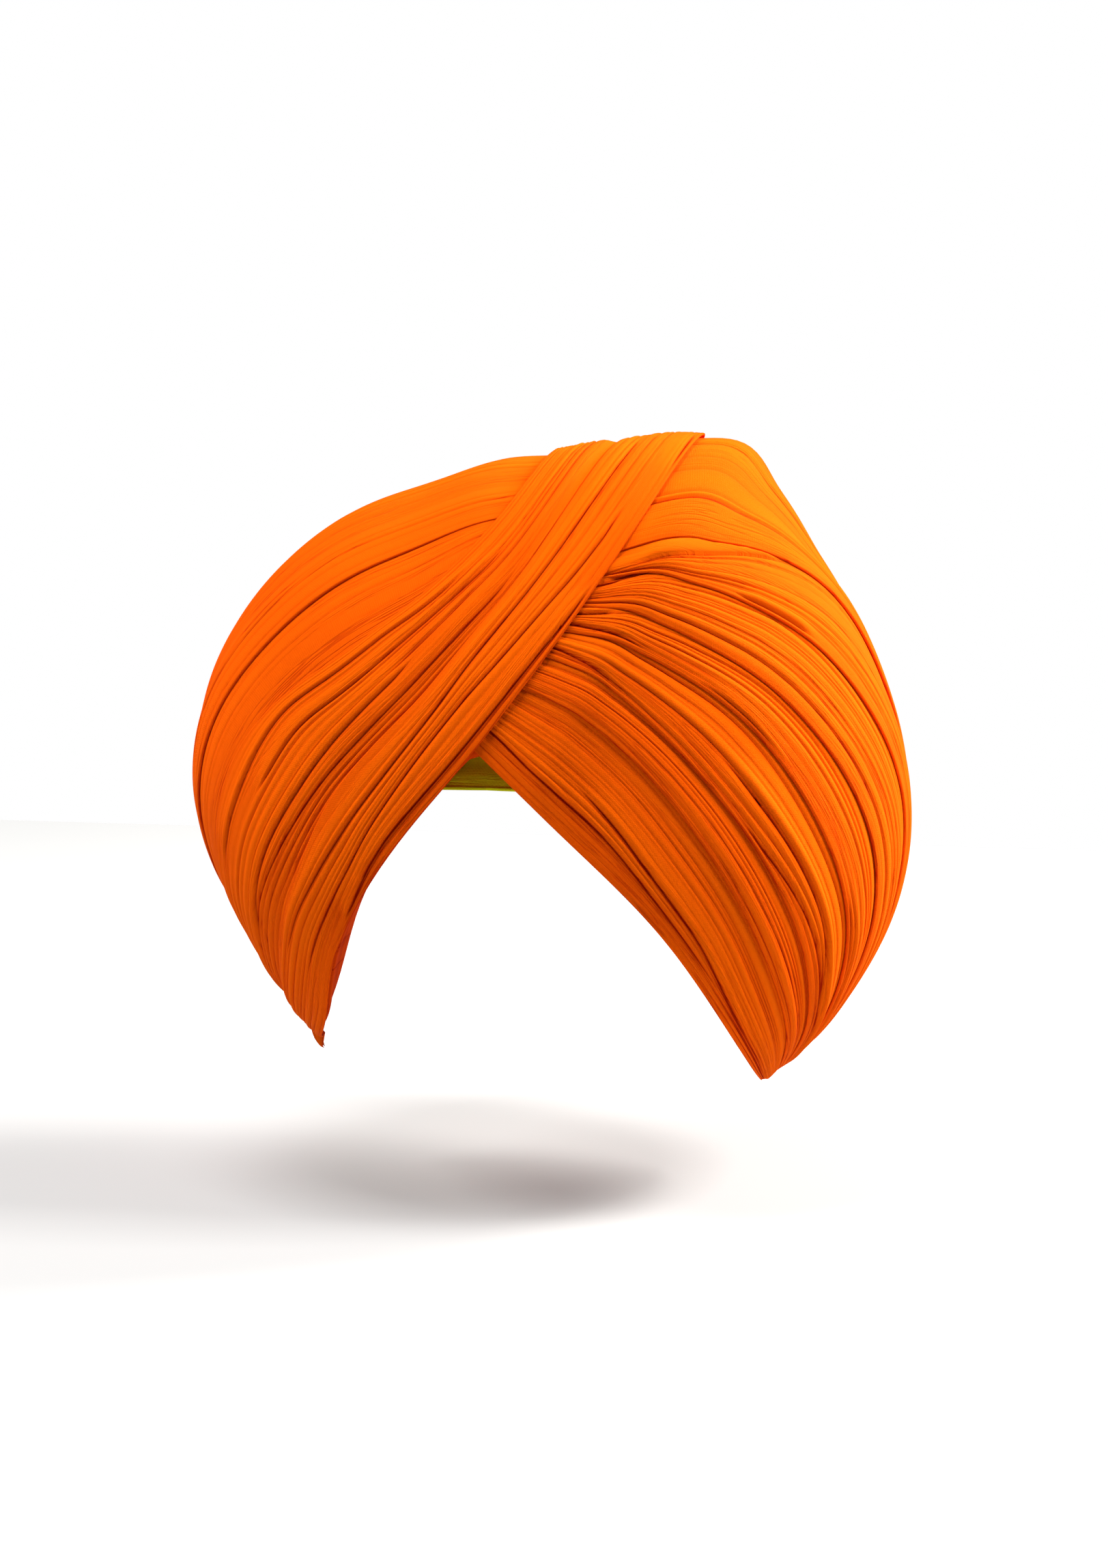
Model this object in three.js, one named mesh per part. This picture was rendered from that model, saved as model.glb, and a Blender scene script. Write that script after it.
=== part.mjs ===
// Tied turban (pagri), wound from one long length of orange cotton voile.
// Millimetres. Z is up, the wearer faces -Y and the wearer's left is +X.
// The origin is the top of the head, inside the hollow.
import * as THREE from 'three';

// The head that the turban is tied on, with its hair knot on top.
const DOME_CENTRE = [0, 0, -85];
const HEAD_HALF_WIDTH = 77.5;
const HEAD_HALF_LENGTH = 99;
const HEAD_HEIGHT = 85;
const KNOT_RISE = 36;
const KNOT_SPREAD = 24;
const KNOT_LEAN = [0.12, -0.1, 0.98];

// The two low points of the turban, just behind the ears.
const RIGHT_TIP = [-85.2, 8, -163];
const LEFT_TIP = [85.4, 8, -166];
const TIP_PULL = 9;
const TIP_PULL_SPREAD = 12;

// The outside. Each row is a section: its roll from straight up towards the wearer's left,
// and the radius from the dome's centre there.
const OUTLINE = {
  roll: [-160, -140, -120, -105, -90, -75, -60, -45, -30, -15, 0, 12,
    20, 26, 33, 42, 55, 70, 85, 100, 115, 130, 145, 160],
  radius: [107, 105.5, 105, 109.5, 121.5, 133.5, 142.5, 148, 151, 151, 154, 162,
    170, 174, 169, 160.5, 153.5, 149, 143.5, 137, 130, 121.5, 119, 119],
};
const FRONT_HALF_DEPTH = 111;
const BACK_HALF_DEPTH = 138;
const SECTION_POWER = 2.25;

// Cloth: one turn is several layers of voile folded together.
const TURN_THICK = 2.2;
const LAY_GAP = 0.8;
const TURN_STEP = TURN_THICK + LAY_GAP;
const LAID_DEPTH = 5.5;
const RIDGE_ROLL = 26;
const RIDGE_EASE = 2.2;
const RIDGE_SPREAD = 18;
const BOWL_EASE = 0.6;
const TIP_EASE = 1.4;
const TIP_ARC = 6;
const LAP = 0.36;

// Turns that rise from the tip on the wearer's left. Each line is a turn's lower edge, as the bearing
// around the tip (0 is up the side, positive is towards the face) at each arc distance from the tip.
const LEFT_LINES = {
  arc: [6, 25, 45, 65, 85, 100, 116],
  face_edge: [82, 80, 77, 73.5, 73, 73, 72],
  forehead_fold: [66, 64, 61.5, 58.5, 56, 56, 59],
  brow_fold: [57, 55, 52.5, 51, 50, 50, 53],
  temple_fold: [44, 41, 39, 39, 39.5, 43.5, 49],
  rolled_fold: [32, 29, 27, 29.5, 33, 38.5, 45],
  upper_fold: [10, 5, 5, 13.5, 22, 31, 41.5],
  crown_front: [-6, -9, -12, -9, 5, 24, 37.5],
  crown_back: [-24, -24, -24, -23, -22, -26, -34],
  back_fold_1: [-38, -36, -35, -34, -36, -42, -52],
  back_fold_2: [-50, -46, -43, -44, -54, -64, -76],
  nape_edge: [-62, -56, -52, -60, -79, -89, -99],
};
// Each row is a turn, from its lower edge to the edge that the next turn covers.
const LEFT_TURNS = [
  { name: 'left_turn_1', low: 'face_edge', high: 'forehead_fold', next: 'brow_fold', edge_lift: 0.2 },
  { name: 'left_turn_2', low: 'forehead_fold', high: 'brow_fold', next: 'temple_fold', edge_lift: 1 },
  { name: 'left_turn_3', low: 'brow_fold', high: 'temple_fold', next: 'rolled_fold', edge_lift: 1 },
  { name: 'left_turn_4', low: 'temple_fold', high: 'rolled_fold', next: 'upper_fold', edge_lift: 1 },
  { name: 'left_turn_5', low: 'rolled_fold', high: 'upper_fold', next: 'crown_front', edge_lift: 1 },
  { name: 'left_turn_6', low: 'upper_fold', high: 'crown_front', next: 'crown_back', edge_lift: 1 },
  { name: 'back_turn_1', low: 'nape_edge', high: 'back_fold_2', next: 'back_fold_1', edge_lift: 0.2 },
  { name: 'back_turn_2', low: 'back_fold_2', high: 'back_fold_1', next: 'crown_back', edge_lift: 1 },
  { name: 'back_turn_3', low: 'back_fold_1', high: 'crown_back', next: 'crown_front', edge_lift: 1 },
];
// The turns end under the front band, at an arc that depends on the bearing.
const LEFT_END = { bearing: [-101, -76, -52, -34, -15, 80], arc: [109, 109, 110, 113, 116, 116] };
const LEFT_ROWS = 17;
const LEFT_CROWN_COLUMNS = 12;
const WIDEST_LAP = 5;

// Turns on the wearer's right side, from the tip there up to the front band.
const SIDE_LINES = {
  arc: [6, 25, 45, 65, 85, 105, 120, 130],
  band_front: [49, 48, 47, 46.5, 45.5, 46, 45, 40],
  band_back: [45, 47, 47, 46, 45, 45, 44, 40],
  shoulder_fold: [33, 32, 31, 31, 31.5, 31, 31, 31],
};
const SIDE_END = {
  bearing: [-50, -45, -31, -22, -12, 0, 12, 22, 31, 40, 50],
  arc: [104, 111, 126, 132.5, 137, 139.5, 139.5, 138, 135, 128, 118],
};
const SIDE_ROWS = 16;
const SIDE_CROWN_COLUMNS = 12;

// The last turn, the front band. It is a loop about the point opposite the left tip. Each line is the
// angle from that point at each turn angle, which starts at the right tip and passes the face first.
const BAND_LINES = {
  turn: [5, 12, 25, 45, 65, 90, 120, 150, 180, 210, 240, 270, 295, 315, 335, 348, 355],
  hem_edge: [86, 86, 85, 83, 75.5, 68, 67, 68, 68, 69, 72, 75, 70.5, 68.5, 75.5, 81.5, 84.5],
  band_fold: [84, 80, 74.5, 67, 60, 53, 54, 57, 58, 59, 62, 63.5, 62, 64, 72.5, 79.6, 83.3],
  side_edge: [80.5, 71, 57, 44, 36, 34, 40, 48, 49.5, 49.5, 50, 49, 51, 58.5, 69.3, 77.6, 82.3],
};
const BAND_ROWS = 56;
const BAND_TUCK = 2.2;
const LAP_EASE = 1.12;
// Where the band lies over the ends of the other turns it stands higher.
const OVER_LEFT_TURNS = { turn: [74, 92, 284, 300] };
const OVER_SIDE_TURNS = { turn: [112, 132, 222, 244] };

// The under-turban band of olive cotton, round the head below the knot.
const UNDER_THICK = 2;
const UNDER_SEAT = 0.4;
const UNDER_LOW = { azimuth: [0, 45, 90, 135, 180], elevation: [24, 23, 18, 15, 14] };
const UNDER_TALL = 24;

// The inner turns: a wound bowl under everything, its rim set back behind the turns' lowest edges.
const RIM_INSET = 2.2;
const TIP_INSET = 3.4;
const BOWL_ROWS = 11;
const BOWL_COLUMNS = 60;
const RIM_ROLL = 1.2;
const RIM_THICK = 3;
const RIM_SLANT = 0.55;
const WIDEST_SLANT = 14;

const ORANGE = { color: 0xf2700a, roughness: 0.85, metalness: 0 };
const DEEP_ORANGE = { color: 0xd9560a, roughness: 0.9, metalness: 0 };
const OLIVE = { color: 0x8c7010, roughness: 0.9, metalness: 0 };

const RAD = Math.PI / 180;
const centre = new THREE.Vector3(...DOME_CENTRE);

function clamp(x, low, high) {
  return Math.min(high, Math.max(low, x));
}

function ease(x) {
  const t = clamp(x, 0, 1);
  return t * t * (3 - 2 * t);
}

// A smooth curve through a table's rows.
function through(xs, ys, at) {
  const x = clamp(at, xs[0], xs[xs.length - 1]);
  let i = 0;
  while (i < xs.length - 2 && x >= xs[i + 1]) i += 1;
  const slope = (k) => (ys[k + 1] - ys[k]) / (xs[k + 1] - xs[k]);
  const tangent = (k) => {
    if (k === 0) return slope(0);
    if (k === xs.length - 1) return slope(k - 1);
    return (slope(k - 1) + slope(k)) / 2;
  };
  const h = xs[i + 1] - xs[i];
  const t = (x - xs[i]) / h;
  const t2 = t * t;
  const t3 = t2 * t;
  return (2 * t3 - 3 * t2 + 1) * ys[i] + (t3 - 2 * t2 + t) * h * tangent(i)
    + (3 * t2 - 2 * t3) * ys[i + 1] + (t3 - t2) * h * tangent(i + 1);
}

function plateau(edges, x) {
  return ease((x - edges[0]) / (edges[1] - edges[0])) * ease((edges[3] - x) / (edges[3] - edges[2]));
}

// The direction of a tip, with its up and its forward on the sphere of directions.
function tipFrame(point) {
  const out = new THREE.Vector3(...point).sub(centre);
  const reach = out.length();
  out.normalize();
  const up = new THREE.Vector3(0, 0, 1);
  up.addScaledVector(out, -up.dot(out)).normalize();
  const forward = new THREE.Vector3().crossVectors(out, up);
  if (forward.y > 0) forward.negate();
  return { out, up, forward, reach };
}
const rightTip = tipFrame(RIGHT_TIP);
const leftTip = tipFrame(LEFT_TIP);

// The front band's loop axis, with its start towards the right tip and its quarter turn towards the face.
function bandFrame() {
  const axis = leftTip.out.clone().negate();
  const start = rightTip.out.clone().addScaledVector(axis, -rightTip.out.dot(axis)).normalize();
  const quarter = new THREE.Vector3().crossVectors(axis, start);
  if (quarter.y > 0) quarter.negate();
  return { out: axis, up: start, forward: quarter };
}
const band = bandFrame();

function around(frame, arc, bearing) {
  const s = Math.sin(arc * RAD);
  return new THREE.Vector3()
    .addScaledVector(frame.out, Math.cos(arc * RAD))
    .addScaledVector(frame.up, s * Math.cos(bearing * RAD))
    .addScaledVector(frame.forward, s * Math.sin(bearing * RAD));
}

function compass(azimuth, elevation) {
  const level = Math.cos(elevation * RAD);
  const x = Math.sin(azimuth * RAD) * level;
  const y = -Math.cos(azimuth * RAD) * level;
  return new THREE.Vector3(x, y, Math.sin(elevation * RAD));
}

// The radius of the outside in a direction, and of the surface that the turns are laid on.
function outside(d) {
  const roll = Math.atan2(d.x, d.z) / RAD;
  const side = through(OUTLINE.roll, OUTLINE.radius, roll);
  const depth = d.y < 0 ? FRONT_HALF_DEPTH : BACK_HALF_DEPTH;
  const h = Math.hypot(d.x, d.z) / side;
  const k = Math.abs(d.y) / depth;
  let r = (h ** SECTION_POWER + k ** SECTION_POWER) ** (-1 / SECTION_POWER);
  for (const tip of [rightTip, leftTip]) {
    const away = Math.acos(clamp(d.dot(tip.out), -1, 1)) / RAD / TIP_PULL_SPREAD;
    r += TIP_PULL * Math.exp(-away * away);
  }
  return r;
}

function laid(d) {
  return outside(d) - LAID_DEPTH;
}

function headRadius(d) {
  const across = (d.x / HEAD_HALF_WIDTH) ** 2 + (d.y / HEAD_HALF_LENGTH) ** 2;
  const upward = d.z > 0 ? (d.z / HEAD_HEIGHT) ** 2 : 0;
  return 1 / Math.sqrt(across + upward);
}

function hollowRadius(d) {
  const lean = new THREE.Vector3(...KNOT_LEAN).normalize();
  const away = Math.acos(clamp(d.dot(lean), -1, 1)) / RAD / KNOT_SPREAD;
  return headRadius(d) + UNDER_SEAT + UNDER_THICK + LAY_GAP + KNOT_RISE * Math.exp(-0.5 * away * away);
}

// A closed solid between an upper and a lower grid of points, open sheet or ring.
function solid(name, look, upper, lower, ring) {
  const rows = upper.length;
  const columns = upper[0].length;
  const points = [...upper.flat(), ...lower.flat()];
  const faces = [];
  const at = (side, i, j) => (side * rows + (i % rows)) * columns + j;
  const quad = (a, b, c, d) => {
    faces.push(a, b, c, a, c, d);
  };
  const lastRow = ring ? rows : rows - 1;
  for (let i = 0; i < lastRow; i += 1) {
    for (let j = 0; j < columns - 1; j += 1) {
      quad(at(0, i, j), at(0, i + 1, j), at(0, i + 1, j + 1), at(0, i, j + 1));
      quad(at(1, i, j), at(1, i, j + 1), at(1, i + 1, j + 1), at(1, i + 1, j));
    }
    quad(at(0, i, 0), at(1, i, 0), at(1, i + 1, 0), at(0, i + 1, 0));
    quad(at(0, i, columns - 1), at(0, i + 1, columns - 1), at(1, i + 1, columns - 1), at(1, i, columns - 1));
  }
  if (!ring) {
    for (let j = 0; j < columns - 1; j += 1) {
      quad(at(0, 0, j), at(0, 0, j + 1), at(1, 0, j + 1), at(1, 0, j));
      quad(at(0, rows - 1, j), at(1, rows - 1, j), at(1, rows - 1, j + 1), at(0, rows - 1, j + 1));
    }
  }
  return mesh(name, look, points, faces);
}

// Faces are turned outwards by the sign of the volume.
function mesh(name, look, points, faces) {
  let volume = 0;
  const cross = new THREE.Vector3();
  for (let k = 0; k < faces.length; k += 3) {
    cross.crossVectors(points[faces[k + 1]], points[faces[k + 2]]);
    volume += points[faces[k]].dot(cross);
  }
  if (volume < 0) {
    for (let k = 0; k < faces.length; k += 3) {
      [faces[k + 1], faces[k + 2]] = [faces[k + 2], faces[k + 1]];
    }
  }
  const geometry = new THREE.BufferGeometry();
  const numbers = points.flatMap((p) => [p.x, p.y, p.z]);
  geometry.setAttribute('position', new THREE.Float32BufferAttribute(numbers, 3));
  geometry.setIndex(faces);
  geometry.computeVertexNormals();
  const made = new THREE.Mesh(geometry, new THREE.MeshStandardMaterial(look));
  made.name = name;
  return made;
}

function place(d, radius) {
  return d.clone().multiplyScalar(radius).add(centre);
}

// Cloth is gathered thinner where the turns meet at a tip.
function gathered(d) {
  const near = Math.max(d.dot(rightTip.out), d.dot(leftTip.out));
  const arc = Math.acos(clamp(near, -1, 1)) / RAD;
  return 0.5 + 0.5 * ease((arc - TIP_ARC) / 28);
}

// A turn of cloth: directions in rows and columns, and how many layers lie under it there.
function turn(name, look, directions, layers) {
  const at = (extra) => directions.map((row, i) => row.map((d, j) => {
    return place(d, laid(d) + LAY_GAP + gathered(d) * (TURN_STEP * layers[i][j] + extra));
  }));
  return solid(name, look, at(TURN_THICK), at(0), false);
}

function spread(count, from, to) {
  return Array.from({ length: count }, (_, i) => from + ((to - from) * i) / (count - 1));
}

// A point on the turns that rise from a tip: the arc runs on to where they end under the front band.
function riseFrom(frame, ends, lastArc, arc, bearing) {
  const end = through(ends.bearing, ends.arc, bearing);
  return around(frame, TIP_ARC + ((end - TIP_ARC) * (arc - TIP_ARC)) / (lastArc - TIP_ARC), bearing);
}

function leftAt(arc, bearing) {
  return riseFrom(leftTip, LEFT_END, LEFT_LINES.arc.at(-1), arc, bearing);
}

function rightAt(arc, bearing) {
  return riseFrom(rightTip, SIDE_END, SIDE_LINES.arc.at(-1), arc, bearing);
}

// How far, in degrees, a turn reaches in under the next one.
function tuckUnder(width) {
  return Math.min(width * LAP, WIDEST_LAP);
}

function leftTurn(row) {
  const line = (key, arc) => through(LEFT_LINES.arc, LEFT_LINES[key], arc);
  const stations = [0, LAP + 0.06, 0.7, 0.97, 1];
  const lift = [1, 1, 0.4, 0, 0].map((l) => l * row.edge_lift * LAP_EASE);
  const directions = spread(LEFT_ROWS, TIP_ARC, LEFT_LINES.arc.at(-1)).map((arc) => {
    const low = line(row.low, arc);
    const high = line(row.high, arc);
    const next = line(row.next, arc);
    const bearings = stations.map((s) => low + (high - low) * s);
    bearings[4] = high + Math.sign(next - high) * tuckUnder(Math.abs(next - high));
    return bearings.map((b) => leftAt(arc, b));
  });
  return turn(row.name, ORANGE, directions, directions.map(() => lift));
}

// A wide turn over the top of one side. Both of its edges lie over the turns beside it.
function crownTurn(name, at, arcs, columns, front, back) {
  const directions = arcs.map((arc) => {
    const width = front(arc) - back(arc);
    const lap = Math.min(0.42, (tuckUnder(width) + 0.8) / width);
    const stations = [0, lap, ...spread(columns - 4, lap + 0.06, 0.94 - lap), 1 - lap, 1];
    return stations.map((s) => at(arc, front(arc) - width * s));
  });
  const lift = spread(columns, 0, columns - 1).map((j) => {
    const inside = Math.min(j, columns - 1 - j);
    if (inside < 2) return LAP_EASE;
    return inside < 3 ? 0.45 : 0;
  });
  return turn(name, ORANGE, directions, directions.map(() => lift));
}

function leftCrownTurn() {
  const line = (key) => (arc) => through(LEFT_LINES.arc, LEFT_LINES[key], arc);
  const arcs = spread(LEFT_ROWS, TIP_ARC, LEFT_LINES.arc.at(-1));
  const front = line('crown_front');
  const back = line('crown_back');
  return crownTurn('left_crown_turn', leftAt, arcs, LEFT_CROWN_COLUMNS, front, back);
}

function rightCrownTurn() {
  const fold = (arc) => through(SIDE_LINES.arc, SIDE_LINES.shoulder_fold, arc);
  const arcs = spread(SIDE_ROWS, TIP_ARC, SIDE_LINES.arc.at(-1));
  return crownTurn('right_crown_turn', rightAt, arcs, SIDE_CROWN_COLUMNS, fold, (arc) => -fold(arc));
}

// A flat turn beside the front band, covered along both edges.
function sideTurn(name, hand, edge) {
  const arcs = spread(SIDE_ROWS, TIP_ARC, SIDE_LINES.arc.at(-1)).slice(0, -1);
  const directions = arcs.map((arc) => {
    const low = through(SIDE_LINES.arc, SIDE_LINES[edge], arc);
    const high = through(SIDE_LINES.arc, SIDE_LINES.shoulder_fold, arc) - WIDEST_LAP * 0.8;
    return spread(5, low, high).map((bearing) => rightAt(arc, bearing * hand));
  });
  return turn(name, ORANGE, directions, directions.map((row) => row.map(() => 0)));
}

function bandTurns() {
  const line = (key, at) => through(BAND_LINES.turn, BAND_LINES[key], at);
  const turns = spread(BAND_ROWS, BAND_LINES.turn[0], BAND_LINES.turn.at(-1));
  const rows = turns.map((at) => {
    const hem = line('hem_edge', at);
    const fold = line('band_fold', at);
    const side = line('side_edge', at);
    const overLeft = plateau(OVER_LEFT_TURNS.turn, at);
    const overSide = plateau(OVER_SIDE_TURNS.turn, at);
    const tuck = Math.min(BAND_TUCK, (hem - fold) * 0.2);
    const hemAngles = [0, 0.22, 0.45, 0.72, 1].map((s) => hem + (fold - hem) * s);
    const sideShares = [0.14, 0.3, 0.53, 0.76, 1];
    const sideAngles = [fold + tuck, fold, ...sideShares.map((s) => fold + (side - fold) * s)];
    return {
      hem: hemAngles.map((angle) => around(band, angle, at)),
      side: sideAngles.map((angle) => around(band, angle, at)),
      hemLayers: [2 * overLeft, 2 * overLeft, Math.max(0.5, 2 * overLeft), 1, 1].map((l) => l * LAP_EASE),
      sideLayers: [0, 0, 0.4, 1, 1, 1, 1].map((l) => l * (1 + overSide) * LAP_EASE),
    };
  });
  return [
    turn('front_band_hem', ORANGE, rows.map((r) => r.hem), rows.map((r) => r.hemLayers)),
    turn('front_band_folds', ORANGE, rows.map((r) => r.side), rows.map((r) => r.sideLayers)),
  ];
}

// The lowest edge of the turns at each azimuth, from the lines that bound them.
function lowestEdges() {
  const lines = [];
  const arcs = spread(60, 0.5, 116);
  for (const key of ['face_edge', 'nape_edge']) {
    lines.push(arcs.map((arc) => leftAt(arc, through(LEFT_LINES.arc, LEFT_LINES[key], arc))));
  }
  const hem = (at) => through(BAND_LINES.turn, BAND_LINES.hem_edge, at);
  lines.push(spread(160, 1, 359).map((at) => around(band, hem(at), at)));
  return lines.map((line) => line.map((d) => {
    return [Math.atan2(d.x, -d.y) / RAD, Math.asin(d.z) / RAD];
  }));
}
const edges = lowestEdges();

function turnTo(angle) {
  return angle - Math.round(angle / 360) * 360;
}

function rimElevation(azimuth) {
  let lowest = 90;
  for (const line of edges) {
    for (let i = 0; i < line.length - 1; i += 1) {
      const low = line[i][1];
      const from = turnTo(line[i][0] - azimuth);
      const to = turnTo(line[i + 1][0] - azimuth);
      if (Math.abs(to - from) < 60 && from * to <= 0 && from !== to) {
        lowest = Math.min(lowest, low + ((line[i + 1][1] - low) * from) / (from - to));
      }
    }
  }
  const tipElevation = Math.asin((azimuth < 0 ? rightTip : leftTip).out.z) / RAD;
  const atTip = lowest > 60 || lowest < tipElevation + 3;
  return atTip ? tipElevation + TIP_INSET + 0.5 : lowest + RIM_INSET;
}

function underBand() {
  const columns = 4;
  const over = [];
  const under = [];
  for (let i = 0; i < 40; i += 1) {
    const azimuth = i * 9;
    const folded = Math.abs(azimuth > 180 ? azimuth - 360 : azimuth);
    const low = through(UNDER_LOW.azimuth, UNDER_LOW.elevation, folded);
    const elevations = spread(columns, low, low + UNDER_TALL);
    over.push(elevations.map((e) => {
      const d = compass(azimuth, e);
      return place(d, headRadius(d) + UNDER_SEAT + UNDER_THICK);
    }));
    under.push(elevations.map((e) => {
      const d = compass(azimuth, e);
      return place(d, headRadius(d) + UNDER_SEAT);
    }));
  }
  return solid('under_turban_band', OLIVE, over, under, true);
}

// The wound bowl: outside, a rim that slants back to the hollow, and the hollow, with two fans on top.
function innerTurns() {
  const points = [];
  const faces = [];
  const push = (p) => points.push(p) - 1;
  const easing = (d) => {
    const roll = (Math.atan2(d.x, d.z) / RAD - RIDGE_ROLL) / RIDGE_SPREAD;
    const near = Math.acos(clamp(Math.max(d.dot(rightTip.out), d.dot(leftTip.out)), -1, 1)) / RAD;
    return BOWL_EASE + RIDGE_EASE * Math.exp(-roll * roll) + TIP_EASE * (1 - ease((near - 8) / 24));
  };
  const outer = (d) => laid(d) - easing(d);
  const top = new THREE.Vector3(0, 0, 1);
  const outerTop = push(place(top, outer(top)));
  const innerTop = push(place(top, hollowRadius(top)));
  const azimuths = spread(BOWL_COLUMNS + 1, -180, 180).slice(0, -1);
  const falls = azimuths.map((azimuth) => 90 - rimElevation(azimuth));
  const slants = azimuths.map((azimuth, j) => {
    const d = compass(azimuth, 90 - falls[j]);
    return clamp((outer(d) - hollowRadius(d)) * RIM_SLANT, 0, WIDEST_SLANT);
  });
  const halfway = (d) => outer(d) * 0.5 + hollowRadius(d) * 0.5;
  const rings = [];
  for (let k = 1; k <= BOWL_ROWS; k += 1) {
    rings.push({ share: k / BOWL_ROWS, slant: 0, dip: 0, radius: outer });
  }
  rings.push({ share: 1, slant: 0, dip: RIM_ROLL, radius: (d) => outer(d) - RIM_THICK });
  rings.push({ share: 1, slant: 0.5, dip: RIM_ROLL / 2, radius: halfway });
  for (let k = BOWL_ROWS; k >= 1; k -= 1) {
    rings.push({ share: k / BOWL_ROWS, slant: 1, dip: 0, radius: hollowRadius });
  }
  const ids = rings.map((ring) => {
    const row = [];
    for (let j = 0; j < BOWL_COLUMNS; j += 1) {
      const fall = (falls[j] - slants[j] * ring.slant) * ring.share + ring.dip;
      const d = compass(azimuths[j], 90 - fall);
      row.push(push(place(d, ring.radius(d))));
    }
    return row;
  });
  for (let j = 0; j < BOWL_COLUMNS; j += 1) {
    const n = (j + 1) % BOWL_COLUMNS;
    faces.push(outerTop, ids[0][j], ids[0][n]);
    faces.push(innerTop, ids.at(-1)[n], ids.at(-1)[j]);
    for (let k = 0; k < ids.length - 1; k += 1) {
      faces.push(ids[k][j], ids[k + 1][j], ids[k + 1][n]);
      faces.push(ids[k][j], ids[k + 1][n], ids[k][n]);
    }
  }
  return mesh('inner_turns', DEEP_ORANGE, points, faces);
}

const turban = new THREE.Group();
turban.name = 'tied_turban_pagri';
turban.add(underBand());
turban.add(innerTurns());
LEFT_TURNS.forEach((row) => turban.add(leftTurn(row)));
turban.add(leftCrownTurn());
turban.add(rightCrownTurn());
turban.add(sideTurn('right_front_turn', 1, 'band_front'));
turban.add(sideTurn('right_back_turn', -1, 'band_back'));
bandTurns().forEach((piece) => turban.add(piece));

export default turban;
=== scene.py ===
# %% [markdown]
# # A tied pagri turban
# A pagri is one very long length of thin cotton voile, about a metre wide. It is folded lengthwise
# into a band and wound over the head and the hair knot, from a point behind one ear up over the crown
# to a point behind the other. The solids of the frame hold the main shape, and this file dresses
# them with the cloth itself: lapped turns with rolled edges and fine pleats.

import math

import bpy
import numpy as np
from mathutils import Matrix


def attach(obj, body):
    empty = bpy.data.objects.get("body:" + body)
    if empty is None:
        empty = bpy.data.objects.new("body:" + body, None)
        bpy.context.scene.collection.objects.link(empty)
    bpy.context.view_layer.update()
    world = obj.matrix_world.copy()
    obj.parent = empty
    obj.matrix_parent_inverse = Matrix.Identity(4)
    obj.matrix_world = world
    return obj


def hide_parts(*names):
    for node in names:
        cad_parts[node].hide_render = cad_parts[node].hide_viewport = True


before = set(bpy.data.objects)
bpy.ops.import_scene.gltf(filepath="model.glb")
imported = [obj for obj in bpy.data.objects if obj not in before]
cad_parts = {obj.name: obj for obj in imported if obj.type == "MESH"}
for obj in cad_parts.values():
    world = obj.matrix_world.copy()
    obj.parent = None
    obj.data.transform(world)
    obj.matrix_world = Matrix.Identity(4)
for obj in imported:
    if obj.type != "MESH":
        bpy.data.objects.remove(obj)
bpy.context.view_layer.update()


# %% [markdown]
# ## Camera, floor and light
# The photo looks almost level, from a little to the wearer's left, through a long lens, which keeps
# the two low points at nearly the same size. A camera can be aimed by a constraint, but a plain
# position and rotation is what other views can move safely, so both are worked out from two angles.

# %% Start with nothing selected
def nothing_selected():
    if bpy.context.object and bpy.context.object.mode != "OBJECT":
        bpy.ops.object.mode_set(mode="OBJECT")
    bpy.ops.object.select_all(action="DESELECT")


nothing_selected()
print("selected:", len(bpy.context.selected_objects))

# %% Camera
VIEW_AZIMUTH = math.radians(11)
VIEW_ELEVATION = math.radians(7.5)
VIEW_DISTANCE = 1.8
VIEW_TARGET = (0, 0, -0.04)
PHOTO_HEIGHT_PX = 2296
PHOTO_FOCAL_PX = 6923
PHOTO_SHIFT_PX = (30.5, -58)
SENSOR_MM = 36

reach = math.cos(VIEW_ELEVATION) * VIEW_DISTANCE
place = (
    VIEW_TARGET[0] + math.sin(VIEW_AZIMUTH) * reach,
    VIEW_TARGET[1] - math.cos(VIEW_AZIMUTH) * reach,
    VIEW_TARGET[2] + math.sin(VIEW_ELEVATION) * VIEW_DISTANCE,
)
bpy.ops.object.camera_add(location=place, rotation=(math.pi / 2 - VIEW_ELEVATION, 0, VIEW_AZIMUTH))
camera = bpy.context.object
camera.name = "photo_camera"
camera.data.sensor_fit = "VERTICAL"
camera.data.sensor_height = SENSOR_MM
camera.data.lens = PHOTO_FOCAL_PX * SENSOR_MM / PHOTO_HEIGHT_PX
camera.data.shift_x = PHOTO_SHIFT_PX[0] / PHOTO_HEIGHT_PX
camera.data.shift_y = PHOTO_SHIFT_PX[1] / PHOTO_HEIGHT_PX
camera.data.dof.use_dof = False
camera.data.clip_end = 20
bpy.context.scene.camera = camera
print("lens in mm:", round(camera.data.lens, 1))

# %% Floor
FLOOR_SIZE, FLOOR_LEVEL = 1.7, -0.206
PALE_PAPER = {
    "Base Color": (0.34, 0.34, 0.34, 1),
    "Roughness": 0.9,
    "Specular IOR Level": 0.1,
    "Emission Color": (1, 1, 1, 1),
    "Emission Strength": 0.3,
}


def set_inputs(node, values):
    for title, value in values.items():
        node.inputs[title].default_value = value


nothing_selected()
bpy.ops.mesh.primitive_plane_add(size=FLOOR_SIZE, location=(0, 0, FLOOR_LEVEL))
floor = bpy.context.object
floor.name = "studio_floor"
floor.data.name = "studio_floor"
bpy.ops.object.transform_apply(location=True, rotation=True, scale=True)
paper = bpy.data.materials.new("pale_paper")
paper.use_nodes = True
set_inputs(paper.node_tree.nodes["Principled BSDF"], PALE_PAPER)
floor.data.materials.append(paper)
print("floor at", floor.data.vertices[0].co.z)

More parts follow.
